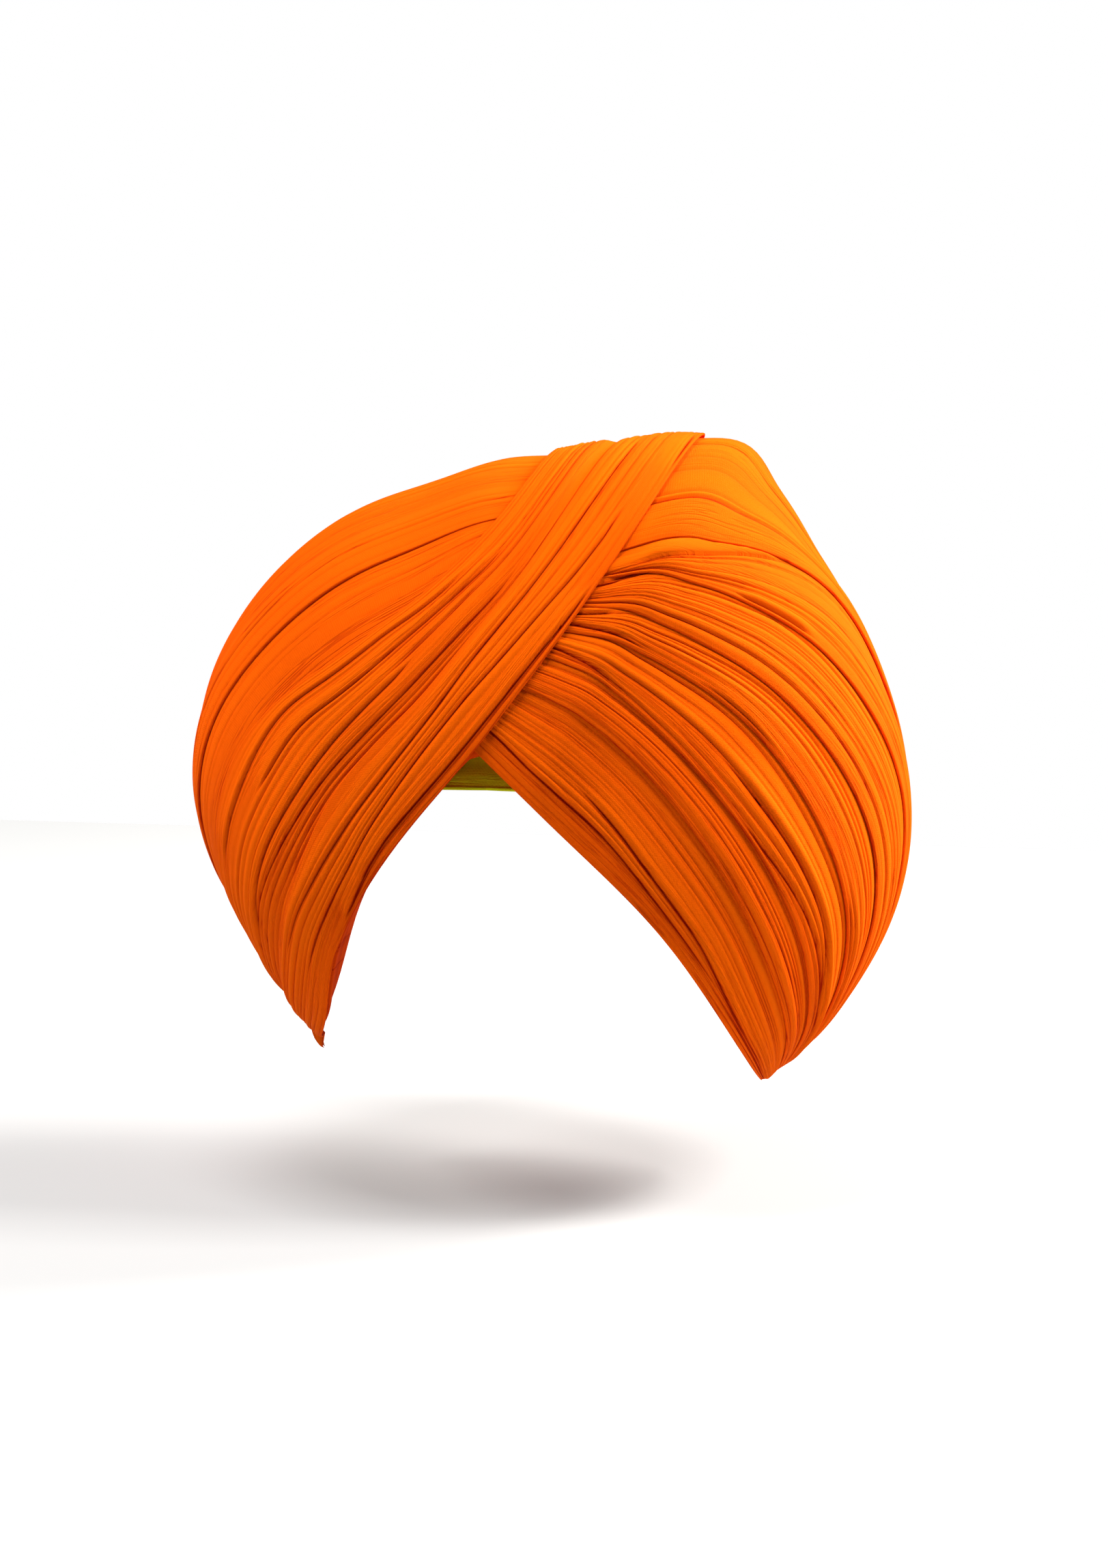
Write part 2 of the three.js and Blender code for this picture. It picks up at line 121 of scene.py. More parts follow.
# %% [markdown]
# The light in the photo is broad and strong. It comes from above and from the right, where the cloth
# turns pale yellow, and a weaker light fills the left. A sun lamp would give hard shadows, so large
# area lights are used. The camera sees a white world, but little of its light reaches the cloth.

# %% Lights
def soft_light(name, azimuth, elevation, distance, size, power, colour):
    a, e = math.radians(azimuth), math.radians(elevation)
    spot = (
        math.sin(a) * math.cos(e) * distance,
        -math.cos(a) * math.cos(e) * distance,
        math.sin(e) * distance,
    )
    bpy.ops.object.light_add(type="AREA", location=spot, rotation=(math.pi / 2 - e, 0, a))
    lamp = bpy.context.object
    lamp.name = name
    lamp.data.size = size
    lamp.data.energy = power
    lamp.data.color = colour
    return lamp


WORLD_LIGHT, WORLD_SEEN = 0.05, 1.0
LIGHTS = [
    # name, degrees round from the front, degrees up, metres away, size in metres, watts, colour
    ("key_above_right", 90, 44, 1.7, 0.5, 33, (1, 0.98, 0.95)),
    ("rim_behind_right", 122, 28, 1.6, 0.5, 60, (1, 0.98, 0.94)),
    ("overhead", -40, 74, 1.8, 0.8, 34, (1, 1, 1)),
    ("side_left", -82, 34, 1.9, 0.7, 26, (1, 1, 0.96)),
]
for row in LIGHTS:
    soft_light(*row)
world = bpy.data.worlds.new("pale_studio")
world.use_nodes = True
background = world.node_tree.nodes["Background"]
background.inputs["Color"].default_value = (1, 1, 1, 1)
seen = world.node_tree.nodes.new("ShaderNodeLightPath")
strength = world.node_tree.nodes.new("ShaderNodeMapRange")
set_inputs(strength, {"To Min": WORLD_LIGHT, "To Max": WORLD_SEEN})
world.node_tree.links.new(seen.outputs["Is Camera Ray"], strength.inputs["Value"])
world.node_tree.links.new(strength.outputs[0], background.inputs["Strength"])
bpy.context.scene.world = world
bpy.context.scene.view_settings.view_transform = "Standard"
print("lights:", len(LIGHTS))


# %% [markdown]
# ## The shape the cloth lies on
# Every turn lies on one surface round a centre inside the head, so the surface is a radius for each
# direction. It could be sculpted, but then the turns would have to be pulled onto it one by one.
# With a few named sizes in millimetres, nearly all of them the solids' own, each turn can be laid by
# angle.

# %% Sizes
DOME_CENTRE = np.array([0.0, 0.0, -85.0])
HEAD_HALF_WIDTH, HEAD_HALF_LENGTH, HEAD_HEIGHT = 77.5, 99, 85
KNOT_RISE, KNOT_SPREAD, KNOT_LEAN = 36, 24, (0.12, -0.1, 0.98)
RIGHT_TIP, LEFT_TIP = (-85.2, 8, -163), (85.4, 8, -166)
# How far each tip is drawn out, in mm, and over how many degrees round it.
RIGHT_TIP_PULL, LEFT_TIP_PULL = (13.5, 10), (4, 18)
OUTLINE = {
    "roll": [-180, -160, -140, -120, -105, -90, -75, -60, -45, -30, -15, 0, 12,
             20, 26, 33, 42, 55, 70, 85, 100, 115, 130, 145, 160, 180],
    "radius": [113, 108, 105.5, 105, 109.5, 121.5, 133.5, 142.5, 148, 151, 151, 154, 162,
               170, 174, 169, 160.5, 153.5, 149, 143.5, 137, 130, 121.5, 119, 118, 113],
}
FRONT_HALF_DEPTH, BACK_HALF_DEPTH, SECTION_POWER = 111, 138, 2.25
# The cloth lies a little higher than in the solids, most of all at the peak.
CROWN_RISE = {
    "roll": [-90, -60, -45, -34, -24, -14, -4, 4, 12, 20, 27, 32, 38, 50, 65, 80, 95, 110, 125],
    "mm": [0, 0.5, 0.3, 0.2, 0.4, 0.9, 3.8, 2.2, 3.6, 4.8, 6.8, 3.2, 1.7, 0.6, -0.6, 0.1, 0.1, -0.9, 0],
}
LAID_DEPTH, FACE_THICK, FACE_GAP = 5.5, 1.3, 0.25
FACE_STEP = FACE_THICK + FACE_GAP
LAP, WIDEST_LAP = 0.36, 5
TIP_ARC, THIN_ARC, THIN_AT_TIP = 6, 28, 0.5
UNDER_THICK, UNDER_SEAT, LAY_GAP = 2.0, 0.4, 0.8
print("one turn and its gap:", FACE_STEP, "mm")


# %% Smooth curves through short tables
def ease(x):
    t = np.clip(x, 0, 1)
    return t * t * (3 - 2 * t)


def through(xs, ys, at):
    xs, ys = np.asarray(xs, float), np.asarray(ys, float)
    x = np.clip(at, xs[0], xs[-1])
    i = np.clip(np.searchsorted(xs, x, side="right") - 1, 0, len(xs) - 2)
    slope = np.diff(ys) / np.diff(xs)
    tangent = np.concatenate([slope[:1], (slope[:-1] + slope[1:]) / 2, slope[-1:]])
    h = xs[i + 1] - xs[i]
    t = (x - xs[i]) / h
    return (
        (2 * t**3 - 3 * t**2 + 1) * ys[i]
        + (t**3 - 2 * t**2 + t) * h * tangent[i]
        + (3 * t**2 - 2 * t**3) * ys[i + 1]
        + (t**3 - t**2) * h * tangent[i + 1]
    )


print("radius straight up:", float(through(OUTLINE["roll"], OUTLINE["radius"], 0)))


# %% Directions round a tip, and the front band's loop
def unit(v):
    v = np.asarray(v, float)
    return v / np.linalg.norm(v)


def tip_frame(point):
    out = unit(np.array(point) - DOME_CENTRE)
    up = unit(np.array([0, 0, 1.0]) - out * out[2])
    forward = np.cross(out, up)
    return {"out": out, "up": up, "forward": forward if forward[1] < 0 else -forward}


def loop_frame(right, left):
    start = unit(right["out"] + left["out"] * -right["out"].dot(left["out"]))
    quarter = np.cross(-left["out"], start)
    return {"out": -left["out"], "up": start, "forward": quarter if quarter[1] < 0 else -quarter}


def around(frame, arc, bearing):
    arc, bearing = np.radians(np.broadcast_arrays(arc, bearing))
    return (
        np.cos(arc)[..., None] * frame["out"]
        + (np.sin(arc) * np.cos(bearing))[..., None] * frame["up"]
        + (np.sin(arc) * np.sin(bearing))[..., None] * frame["forward"]
    )


def compass(azimuth, elevation):
    a, e = np.radians(np.broadcast_arrays(azimuth, elevation))
    return np.stack([np.sin(a) * np.cos(e), -np.cos(a) * np.cos(e), np.sin(e)], axis=-1)


right_tip, left_tip = tip_frame(RIGHT_TIP), tip_frame(LEFT_TIP)
band_loop = loop_frame(right_tip, left_tip)
apart = math.acos(right_tip["out"].dot(left_tip["out"]))
print("from tip to tip:", round(math.degrees(apart), 1), "degrees")


# %% Radius of the outside, of the laid surface and of the hollow
def away_from(d, way):
    return np.degrees(np.arccos(np.clip(d @ way, -1, 1)))


def outside(d):
    roll = np.degrees(np.arctan2(d[..., 0], d[..., 2]))
    side = through(OUTLINE["roll"], OUTLINE["radius"], roll)
    depth = np.where(d[..., 1] < 0, FRONT_HALF_DEPTH, BACK_HALF_DEPTH)
    h = np.hypot(d[..., 0], d[..., 2]) / side
    k = np.abs(d[..., 1]) / depth
    r = (h**SECTION_POWER + k**SECTION_POWER) ** (-1 / SECTION_POWER)
    for tip, (pull, spread) in ((right_tip, RIGHT_TIP_PULL), (left_tip, LEFT_TIP_PULL)):
        r = r + pull * np.exp(-((away_from(d, tip["out"]) / spread) ** 2))
    return r


def laid(d):
    roll = np.degrees(np.arctan2(d[..., 0], d[..., 2]))
    sideways = (1 - d[..., 1] ** 2) ** 2
    return outside(d) - LAID_DEPTH + sideways * through(CROWN_RISE["roll"], CROWN_RISE["mm"], roll)


def head_radius(d):
    upward = np.where(d[..., 2] > 0, d[..., 2] / HEAD_HEIGHT, 0)
    return 1 / np.sqrt((d[..., 0] / HEAD_HALF_WIDTH) ** 2 + (d[..., 1] / HEAD_HALF_LENGTH) ** 2 + upward**2)


def hollow_radius(d):
    away = away_from(d, unit(KNOT_LEAN)) / KNOT_SPREAD
    return head_radius(d) + UNDER_SEAT + UNDER_THICK + LAY_GAP + KNOT_RISE * np.exp(-0.5 * away**2)


def from_nearest_tip(d):
    return np.minimum(away_from(d, right_tip["out"]), away_from(d, left_tip["out"]))


def gathered(d):
    """The layers get thinner where they are gathered towards a tip."""
    return THIN_AT_TIP + (1 - THIN_AT_TIP) * ease((from_nearest_tip(d) - TIP_ARC) / THIN_ARC)


print("laid surface at the brow:", round(float(laid(compass(0, 35))), 1), "mm from the centre")

# %% [markdown]
# ## Cloth
# Voile is a thin plain weave. Dyed this strong, it shows yellow-orange where light passes over or
# through it, and deep red in the folds, where light has bounced from cloth to cloth. A flat orange
# would look like plastic, so both are painted into the colour: painted highlight and painted shade.
# Each cloth reads three things: its own map in millimetres, for threads and for streaks that run
# along the cloth, an attribute that gives the painted shade level, from how deep in a fold a point
# lies, and its place on the object, for slow changes in the colour of the cloth.

# %% A node group for the woven threads
def new_group(name, inputs, outputs):
    group = bpy.data.node_groups.new(name, "ShaderNodeTree")
    for title, kind, value in inputs:
        socket = group.interface.new_socket(name=title, in_out="INPUT", socket_type=kind)
        if value is not None:
            socket.default_value = value
    for title, kind in outputs:
        group.interface.new_socket(name=title, in_out="OUTPUT", socket_type=kind)
    return group, group.nodes.new("NodeGroupInput"), group.nodes.new("NodeGroupOutput")


def new_node(tree, kind, values=None, **links):
    """A node with some inputs set to values, and some joined to other nodes' outputs."""
    node = tree.nodes.new("ShaderNode" + kind)
    set_inputs(node, values or {})
    for title, output in links.items():
        tree.links.new(output, node.inputs[title])
    return node


def math_node(tree, operation, a, b=None, c=None):
    node = tree.nodes.new("ShaderNodeMath")
    node.operation = operation
    for k, value in enumerate((a, b, c)):
        if value is None:
            continue
        if isinstance(value, (int, float)):
            node.inputs[k].default_value = value
        else:
            tree.links.new(value, node.inputs[k])
    return node.outputs[0]


def plain_weave():
    group, given, made = new_group(
        "plain_weave",
        [("Map", "NodeSocketVector", None), ("Threads", "NodeSocketFloat", 22.0)],
        [("Height", "NodeSocketFloat")],
    )
    split = new_node(group, "SeparateXYZ", Vector=given.outputs["Map"])
    turns = math_node(group, "MULTIPLY", given.outputs["Threads"], math.pi)
    across = math_node(group, "SINE", math_node(group, "MULTIPLY", split.outputs[0], turns))
    along = math_node(group, "SINE", math_node(group, "MULTIPLY", split.outputs[1], turns))
    both = math_node(group, "MULTIPLY", across, along)
    fuzz = new_node(group, "TexNoise", {"Scale": 40, "Detail": 3}, Vector=given.outputs["Map"])
    total = math_node(group, "MULTIPLY_ADD", both, 0.35, fuzz.outputs["Fac"])
    group.links.new(total, made.inputs["Height"])
    return group


weave_group = plain_weave()
print("group:", weave_group.name)


# %% A node group for the fine creases
def fine_creases():
    group, given, made = new_group(
        "fine_creases",
        [("Map", "NodeSocketVector", None), ("Close", "NodeSocketFloat", 0.8)],
        [("Depth", "NodeSocketFloat")],
    )
    stretch = new_node(group, "Mapping", {"Scale": (1, 0.024, 1)}, Vector=given.outputs["Map"])
    waves = new_node(group, "TexNoise", {"Detail": 2, "Distortion": 0.25},
                     Vector=stretch.outputs[0], Scale=given.outputs["Close"])
    off = math_node(group, "ABSOLUTE", math_node(group, "SUBTRACT", waves.outputs["Fac"], 0.5))
    line = math_node(group, "MAXIMUM", math_node(group, "MULTIPLY_ADD", off, -16, 1), 0)
    spread = new_node(group, "TexNoise", {"Scale": 0.14, "Detail": 1}, Vector=stretch.outputs[0])
    where = new_node(group, "MapRange", Value=spread.outputs["Fac"])
    where.interpolation_type = "SMOOTHSTEP"
    set_inputs(where, {"From Min": 0.42, "From Max": 0.62})
    group.links.new(math_node(group, "MULTIPLY", line, where.outputs[0]), made.inputs["Depth"])
    return group


crease_group = fine_creases()
print("group:", crease_group.name)


# %% A node group for the cloth's colour, with painted shade and painted highlight
def fold_shade_and_dye():
    group, given, made = new_group(
        "fold_shade_and_dye",
        [
            ("Map", "NodeSocketVector", None),
            ("Place", "NodeSocketVector", None),
            ("ShadeLevel", "NodeSocketFloat", 0.5),
            ("Lit", "NodeSocketColor", (1, 0.3, 0.02, 1)),
            ("Body", "NodeSocketColor", (0.8, 0.15, 0.01, 1)),
            ("Shaded", "NodeSocketColor", (0.3, 0.02, 0.0, 1)),
        ],
        [("Color", "NodeSocketColor"), ("Streaks", "NodeSocketFloat")],
    )
    # Streaks along the cloth and slow changes over the object: the cloth's own uneven tone.
    stretch = new_node(group, "Mapping", {"Scale": (5.5, 0.22, 1)}, Vector=given.outputs["Map"])
    streaks = new_node(group, "TexNoise", {"Scale": 1, "Detail": 4, "Roughness": 0.6},
                       Vector=stretch.outputs[0])
    slow = new_node(group, "TexNoise", {"Scale": 14, "Detail": 2}, Vector=given.outputs["Place"])
    mixed = math_node(group, "MULTIPLY_ADD", streaks.outputs["Fac"], 0.4, -0.3)
    mixed = math_node(group, "MULTIPLY_ADD", slow.outputs["Fac"], 0.3, mixed)
    # Painted shade and painted highlight: the shade level, with the tone added, mixes from the deep colour
    # in folds and creases through the body colour to the lit colour on ridges and rolled edges.
    depth = math_node(group, "ADD", given.outputs["ShadeLevel"], mixed)
    to_body = new_node(group, "Mix")
    to_body.data_type = "RGBA"
    low_half = math_node(group, "SMOOTH_MIN", math_node(group, "MULTIPLY", depth, 2), 1, 0.1)
    group.links.new(low_half, to_body.inputs[0])
    group.links.new(given.outputs["Shaded"], to_body.inputs[6])
    group.links.new(given.outputs["Body"], to_body.inputs[7])
    to_lit = new_node(group, "Mix")
    to_lit.data_type = "RGBA"
    group.links.new(math_node(group, "MULTIPLY_ADD", depth, 2, -1), to_lit.inputs[0])
    group.links.new(to_body.outputs[2], to_lit.inputs[6])
    group.links.new(given.outputs["Lit"], to_lit.inputs[7])
    group.links.new(to_lit.outputs[2], made.inputs["Color"])
    group.links.new(streaks.outputs["Fac"], made.inputs["Streaks"])
    return group


shade_and_dye_group = fold_shade_and_dye()
print("group:", shade_and_dye_group.name)


# %% Cloth materials
CREASE_SHADE, CREASE_RELIEF, STREAK_RELIEF, NAP_HEIGHT = -0.36, -2.0, 0.6, 0.0003
DRY_COTTON = {"Specular IOR Level": 0.02, "Sheen Roughness": 0.45}


def cloth_material(name, lit, body, deep, threads, rough, bump, sheen):
    material = bpy.data.materials.new(name)
    material.use_nodes = True
    tree = material.node_tree
    cloth = tree.nodes["Principled BSDF"]
    own_map = new_node(tree, "UVMap")
    own_map.uv_map = "cloth_mm"
    fold = new_node(tree, "Attribute")
    fold.attribute_name = "fold"
    where = new_node(tree, "TexCoord")
    shade_and_dye = new_node(tree, "Group")
    shade_and_dye.node_tree = shade_and_dye_group
    tree.links.new(own_map.outputs["UV"], shade_and_dye.inputs["Map"])
    tree.links.new(where.outputs["Object"], shade_and_dye.inputs["Place"])
    crease = new_node(tree, "Group")
    crease.node_tree = crease_group
    tree.links.new(own_map.outputs["UV"], crease.inputs["Map"])
    # Painted shade and painted highlight: the crease depth and the fold attribute set the shade level, which
    # darkens creases and grooves and lightens ridges and rolled edges.
    shade_level = math_node(tree, "MULTIPLY_ADD", crease.outputs["Depth"], CREASE_SHADE, fold.outputs["Fac"])
    tree.links.new(shade_level, shade_and_dye.inputs["ShadeLevel"])
    set_inputs(shade_and_dye, {"Lit": (*lit, 1), "Body": (*body, 1), "Shaded": (*deep, 1)})
    weave = new_node(tree, "Group")
    weave.node_tree = weave_group
    weave.inputs["Threads"].default_value = threads
    tree.links.new(own_map.outputs["UV"], weave.inputs["Map"])
    relief = math_node(tree, "MULTIPLY_ADD", shade_and_dye.outputs["Streaks"], STREAK_RELIEF, weave.outputs["Height"])
    relief = math_node(tree, "MULTIPLY_ADD", crease.outputs["Depth"], CREASE_RELIEF, relief)
    nap = new_node(tree, "Bump", {"Strength": bump, "Distance": NAP_HEIGHT}, Height=relief)
    tree.links.new(nap.outputs["Normal"], cloth.inputs["Normal"])
    tree.links.new(shade_and_dye.outputs["Color"], cloth.inputs["Base Color"])
    set_inputs(cloth, {"Roughness": rough, "Sheen Weight": sheen, "Sheen Tint": (*lit, 1), **DRY_COTTON})
    return material


# Each cloth: lit, body and deep colours, threads, roughness, bump and sheen. The lit and deep colours are
# painted highlight and painted shade.
orange_voile = cloth_material(
    "orange_voile", (0.92, 0.12, 0.0003), (0.84, 0.089, 0.0002), (0.45, 0.014, 0.0001), 2.4, 0.9, 0.6, 0.03)
# The inner voile is a darker copy of the orange voile: painted shade for the hollow.
inner_voile = cloth_material(
    "inner_voile", (0.85, 0.08, 0.001), (0.7, 0.055, 0.0006), (0.35, 0.012, 0.0002), 2.4, 0.9, 0.35, 0.06)
# The olive's colours are lighter than the cloth's own: painted light to make up for the shade that the band
# lies in.
olive_cotton = cloth_material(
    "olive_cotton", (0.64, 0.7, 0.01), (0.56, 0.62, 0.008), (0.28, 0.29, 0.003), 1.6, 0.92, 0.6, 0.1)
print("materials:", orange_voile.name, inner_voile.name, olive_cotton.name)

# %% [markdown]
# ## Laying a turn of cloth
# A turn is several layers folded together. In section it has a rolled edge where the cloth folds
# back, an outer face with pleats, and an inner face that lies on the turn below. A plane given a
# wall by Solidify would have sharp square edges, so the whole section is drawn as one closed loop and
# carried along the turn. The mesh starts as a grid from the Add menu, whose points are then placed.

# %% A grid becomes a closed tube of cloth
MM, SAME_POINT = 0.001, 0.000002


def lay_cloth(name, points, fold, cloth_map, material, ring=False):
    rows, columns = points.shape[:2]
    nothing_selected()
    bpy.ops.mesh.primitive_grid_add(x_subdivisions=columns - 1, y_subdivisions=rows - 1, size=2)
    piece = bpy.context.object
    piece.name = piece.data.name = name
    mesh = piece.data
    flat = np.empty(len(mesh.vertices) * 3)
    mesh.vertices.foreach_get("co", flat)
    flat = flat.reshape(-1, 3)
    column = np.rint((flat[:, 0] + 1) / 2 * (columns - 1)).astype(int)
    row = np.rint((flat[:, 1] + 1) / 2 * (rows - 1)).astype(int)
    mesh.vertices.foreach_set("co", (points[row, column] * MM).ravel())
    # The fold attribute holds the painted shade level that the cloth's colour reads.
    depth = mesh.attributes.new("fold", "FLOAT", "POINT")
    depth.data.foreach_set("value", fold[row, column])
    for layer in list(mesh.uv_layers):
        mesh.uv_layers.remove(layer)
    uv = mesh.uv_layers.new(name="cloth_mm")
    corner = np.empty(len(mesh.loops), dtype=np.int32)
    mesh.loops.foreach_get("vertex_index", corner)
    uv.data.foreach_set("uv", (cloth_map[row, column][corner]).ravel())
    mesh.update()
    bpy.ops.object.mode_set(mode="EDIT")
    bpy.ops.mesh.select_all(action="SELECT")
    bpy.ops.mesh.remove_doubles(threshold=SAME_POINT)
    if not ring:
        bpy.ops.mesh.select_all(action="SELECT")
        bpy.ops.mesh.fill_holes(sides=0)
    bpy.ops.mesh.select_all(action="SELECT")
    bpy.ops.mesh.normals_make_consistent(inside=False)
    bpy.ops.object.mode_set(mode="OBJECT")
    bpy.ops.object.shade_smooth()
    mesh.materials.append(material)
    return piece


print("points closer than", round(SAME_POINT / MM, 3), "mm are merged")


# %% Where the pleats run
LEAST_ROOM, SOFT_ROWS, EDGE_WIDTH, DRIFT_SPANS = 0.5, 17, 3.0, 5
TRACED_DEPTH, TRACED_GATHER, TRACED_STEP = 1.6, 0.35, 0.75
FINE_WANDER, FINE_FADE, FINE_LEAST, FINE_STEP = 0.1, 0.3, 0.12, 0.45
# Each fine pleat is drawn at random between these: the room before it, the shares of the turn's
# length where it ends and where it starts, its strength, and its width in mm.
ROOM_DRAW, ROOM_POWER = (0.25, 1), 1.6
LAST_DRAW, FIRST_DRAW, STRENGTH_DRAW, WIDTH_DRAW = (0.25, 1.4), (-0.7, 0.3), (0.35, 1.15), (1.2, 3.5)


def wander(rng, rows, reach):
    """A slow, smooth drift along the turn."""
    knots = rng.uniform(-1, 1, DRIFT_SPANS + 1)
    at = np.linspace(0, DRIFT_SPANS, rows)
    i = np.clip(at.astype(int), 0, DRIFT_SPANS - 1)
    t = ease(at - i)
    return reach * (knots[i] * (1 - t) + knots[i + 1] * t)


def in_order(lines):
    """Lines across a turn keep a small gap, so that none crosses the next, and bend softly."""
    gap = np.minimum(LEAST_ROOM, (lines[-1] - lines[0]) / (2 * len(lines)))
    for k in range(1, len(lines) - 1):
        lines[k] = np.maximum(lines[k], lines[k - 1] + gap)
    for k in range(len(lines) - 2, 0, -1):
        lines[k] = np.minimum(lines[k], lines[k + 1] - gap)
    soft = np.ones(SOFT_ROWS) / SOFT_ROWS
    for k in range(1, len(lines) - 1):
        share = (lines[k] - lines[0]) / (lines[-1] - lines[0])
        share = np.convolve(np.pad(share, SOFT_ROWS // 2, mode="edge"), soft, "valid")
        lines[k] = lines[0] + (lines[-1] - lines[0]) * share
    return lines


def pleat_lines(start, end, traced, count, height, crowd, caught, rng):
    """Each pleat as its place in mm from the lower edge at every row, its depth there, its width,
    and how much of its depth stands as a step above it. The traced folds keep their places, and
    count fine pleats are spread between them. caught says how tightly each row is gathered."""
    rows = len(start)
    traced = sorted(traced, key=lambda t: float(np.average(t[0], weights=t[1] + 1e-6)))
    main = in_order([start] + [t[0] for t in traced] + [end])
    depth = [np.zeros(rows)] + [t[1] * t[2] * TRACED_DEPTH + TRACED_GATHER * caught for t in traced]
    wide = [EDGE_WIDTH] + [t[3] for t in traced]
    at = np.linspace(0, 1, rows)
    total = float(np.mean(end - start))
    lines = []
    for k in range(len(main) - 1):
        lines.append((main[k], depth[k], wide[k], TRACED_STEP))
        room = main[k + 1] - main[k]
        fine = int(round(count * float(np.mean(room)) / total))
        steps = rng.uniform(*ROOM_DRAW, fine + 1) ** ROOM_POWER
        shares = (np.cumsum(steps) / np.sum(steps))[:fine] ** crowd
        for share in shares:
            drift = wander(rng, rows, FINE_WANDER / (fine + 1)) * 4 * share * (1 - share)
            place = main[k] + room * (share + drift)
            last = rng.uniform(*LAST_DRAW)
            first = rng.uniform(*FIRST_DRAW)
            shown = ease((at - first) / FINE_FADE) * ease((last - at) / FINE_FADE)
            strong = height * rng.uniform(*STRENGTH_DRAW)
            deep = strong * (FINE_LEAST + (1 - FINE_LEAST) * shown + caught)
            lines.append((place, deep, rng.uniform(*WIDTH_DRAW), FINE_STEP))
    lines.append((main[-1], np.zeros(rows), EDGE_WIDTH, 0))
    return lines


print("a traced fold at full height is", TRACED_DEPTH, "mm deep")


# %% The relief of the pleats
COLUMN_ROOM, FEWEST, MOST, CROWDED = 0.55, 3, 9, 0.6
GROOVE, STEP_GROOVE, ROLL_SHARE = 0.3, 0.45, 0.1


def pleat_columns(lines):
    """Columns of points across the turn, close together beside each pleat."""
    found = []
    for (a, *_), (b, *_) in zip(lines[:-1], lines[1:]):
        count = int(np.clip(round(float(np.mean(b - a)) / COLUMN_ROOM) + 2, FEWEST, MOST))
        t = np.arange(count) / count
        t = (1 - CROWDED) * t + CROWDED * (0.5 - 0.5 * np.cos(math.pi * t))
        found.append(a[:, None] + (b - a)[:, None] * t[None, :])
    found.append(lines[-1][0][:, None])
    return np.concatenate(found, axis=1)


def pleated(u, lines, narrow):
    """Relief of the face in mm: a sharp groove at each pleat, a step above it and a soft roll between."""
    relief = np.zeros_like(u)
    for place, depth, wide, step in lines:
        past = u - place[:, None]
        relief -= depth[:, None] * np.exp(-np.abs(past) / ((GROOVE + STEP_GROOVE * step) * narrow))
        relief += (step * depth)[:, None] * np.where(past > 0, np.exp(-np.maximum(past, 0) / wide), 0)
    for (a, deep_a, *_), (b, deep_b, *_) in zip(lines[:-1], lines[1:]):
        t = (u - a[:, None]) / (b - a)[:, None]
        roll = np.minimum(0.5 * (deep_a + deep_b), ROLL_SHARE * (b - a))[:, None]
        relief += np.where((t > 0) & (t < 1), roll * np.sin(np.clip(t, 0, 1) * math.pi), 0)
    return relief


print("grooves from", GROOVE, "to", GROOVE + STEP_GROOVE, "mm wide")


# %% The section of a turn, carried along it
PINCHED, PINCH_ARC, WIDEST_ROLL = 0.12, 13, 0.2
GATHER_AT_TIP, GATHER_FROM, GATHER_OVER, GATHER_PINCHED = 2.3, 10, 50, 0.9
FULL_SCALE, FULL_PLEAT_ROOM, NARROWEST = 1.5, 0.8, 0.25
EDGE_BEND, EDGE_POINTS, BACK_COLUMNS = 75, 6, 14
BELOW_FACE, FACE_SWELL, COVERED_RELIEF, SOFT_LOW, SOFT_HIGH = 1.4, 0.4, 0.2, 1.2, 1.6
# Painted shade levels kept in the fold attribute: the flat face, the change per mm of pleat relief, the
# rolled edge a little lighter as painted highlight, and the turned-under roll and hidden back darker as
# painted shade.
FLAT_SHADE, SHADE_PER_MM, EDGE_SHADE, HIDDEN_SHADE, BACK_SHADE = 0.58, 0.8, 0.6, 0.1, 0.2
LAP_EDGE, LAP_FALL = 0.06, 0.52


def finer_where_narrow(scale, whole, count):
    """1 where the pleats have their full size, and less where many meet in a narrow place."""
    return np.minimum(np.clip(scale / FULL_SCALE, NARROWEST, 1), whole / (FULL_PLEAT_ROOM * count))


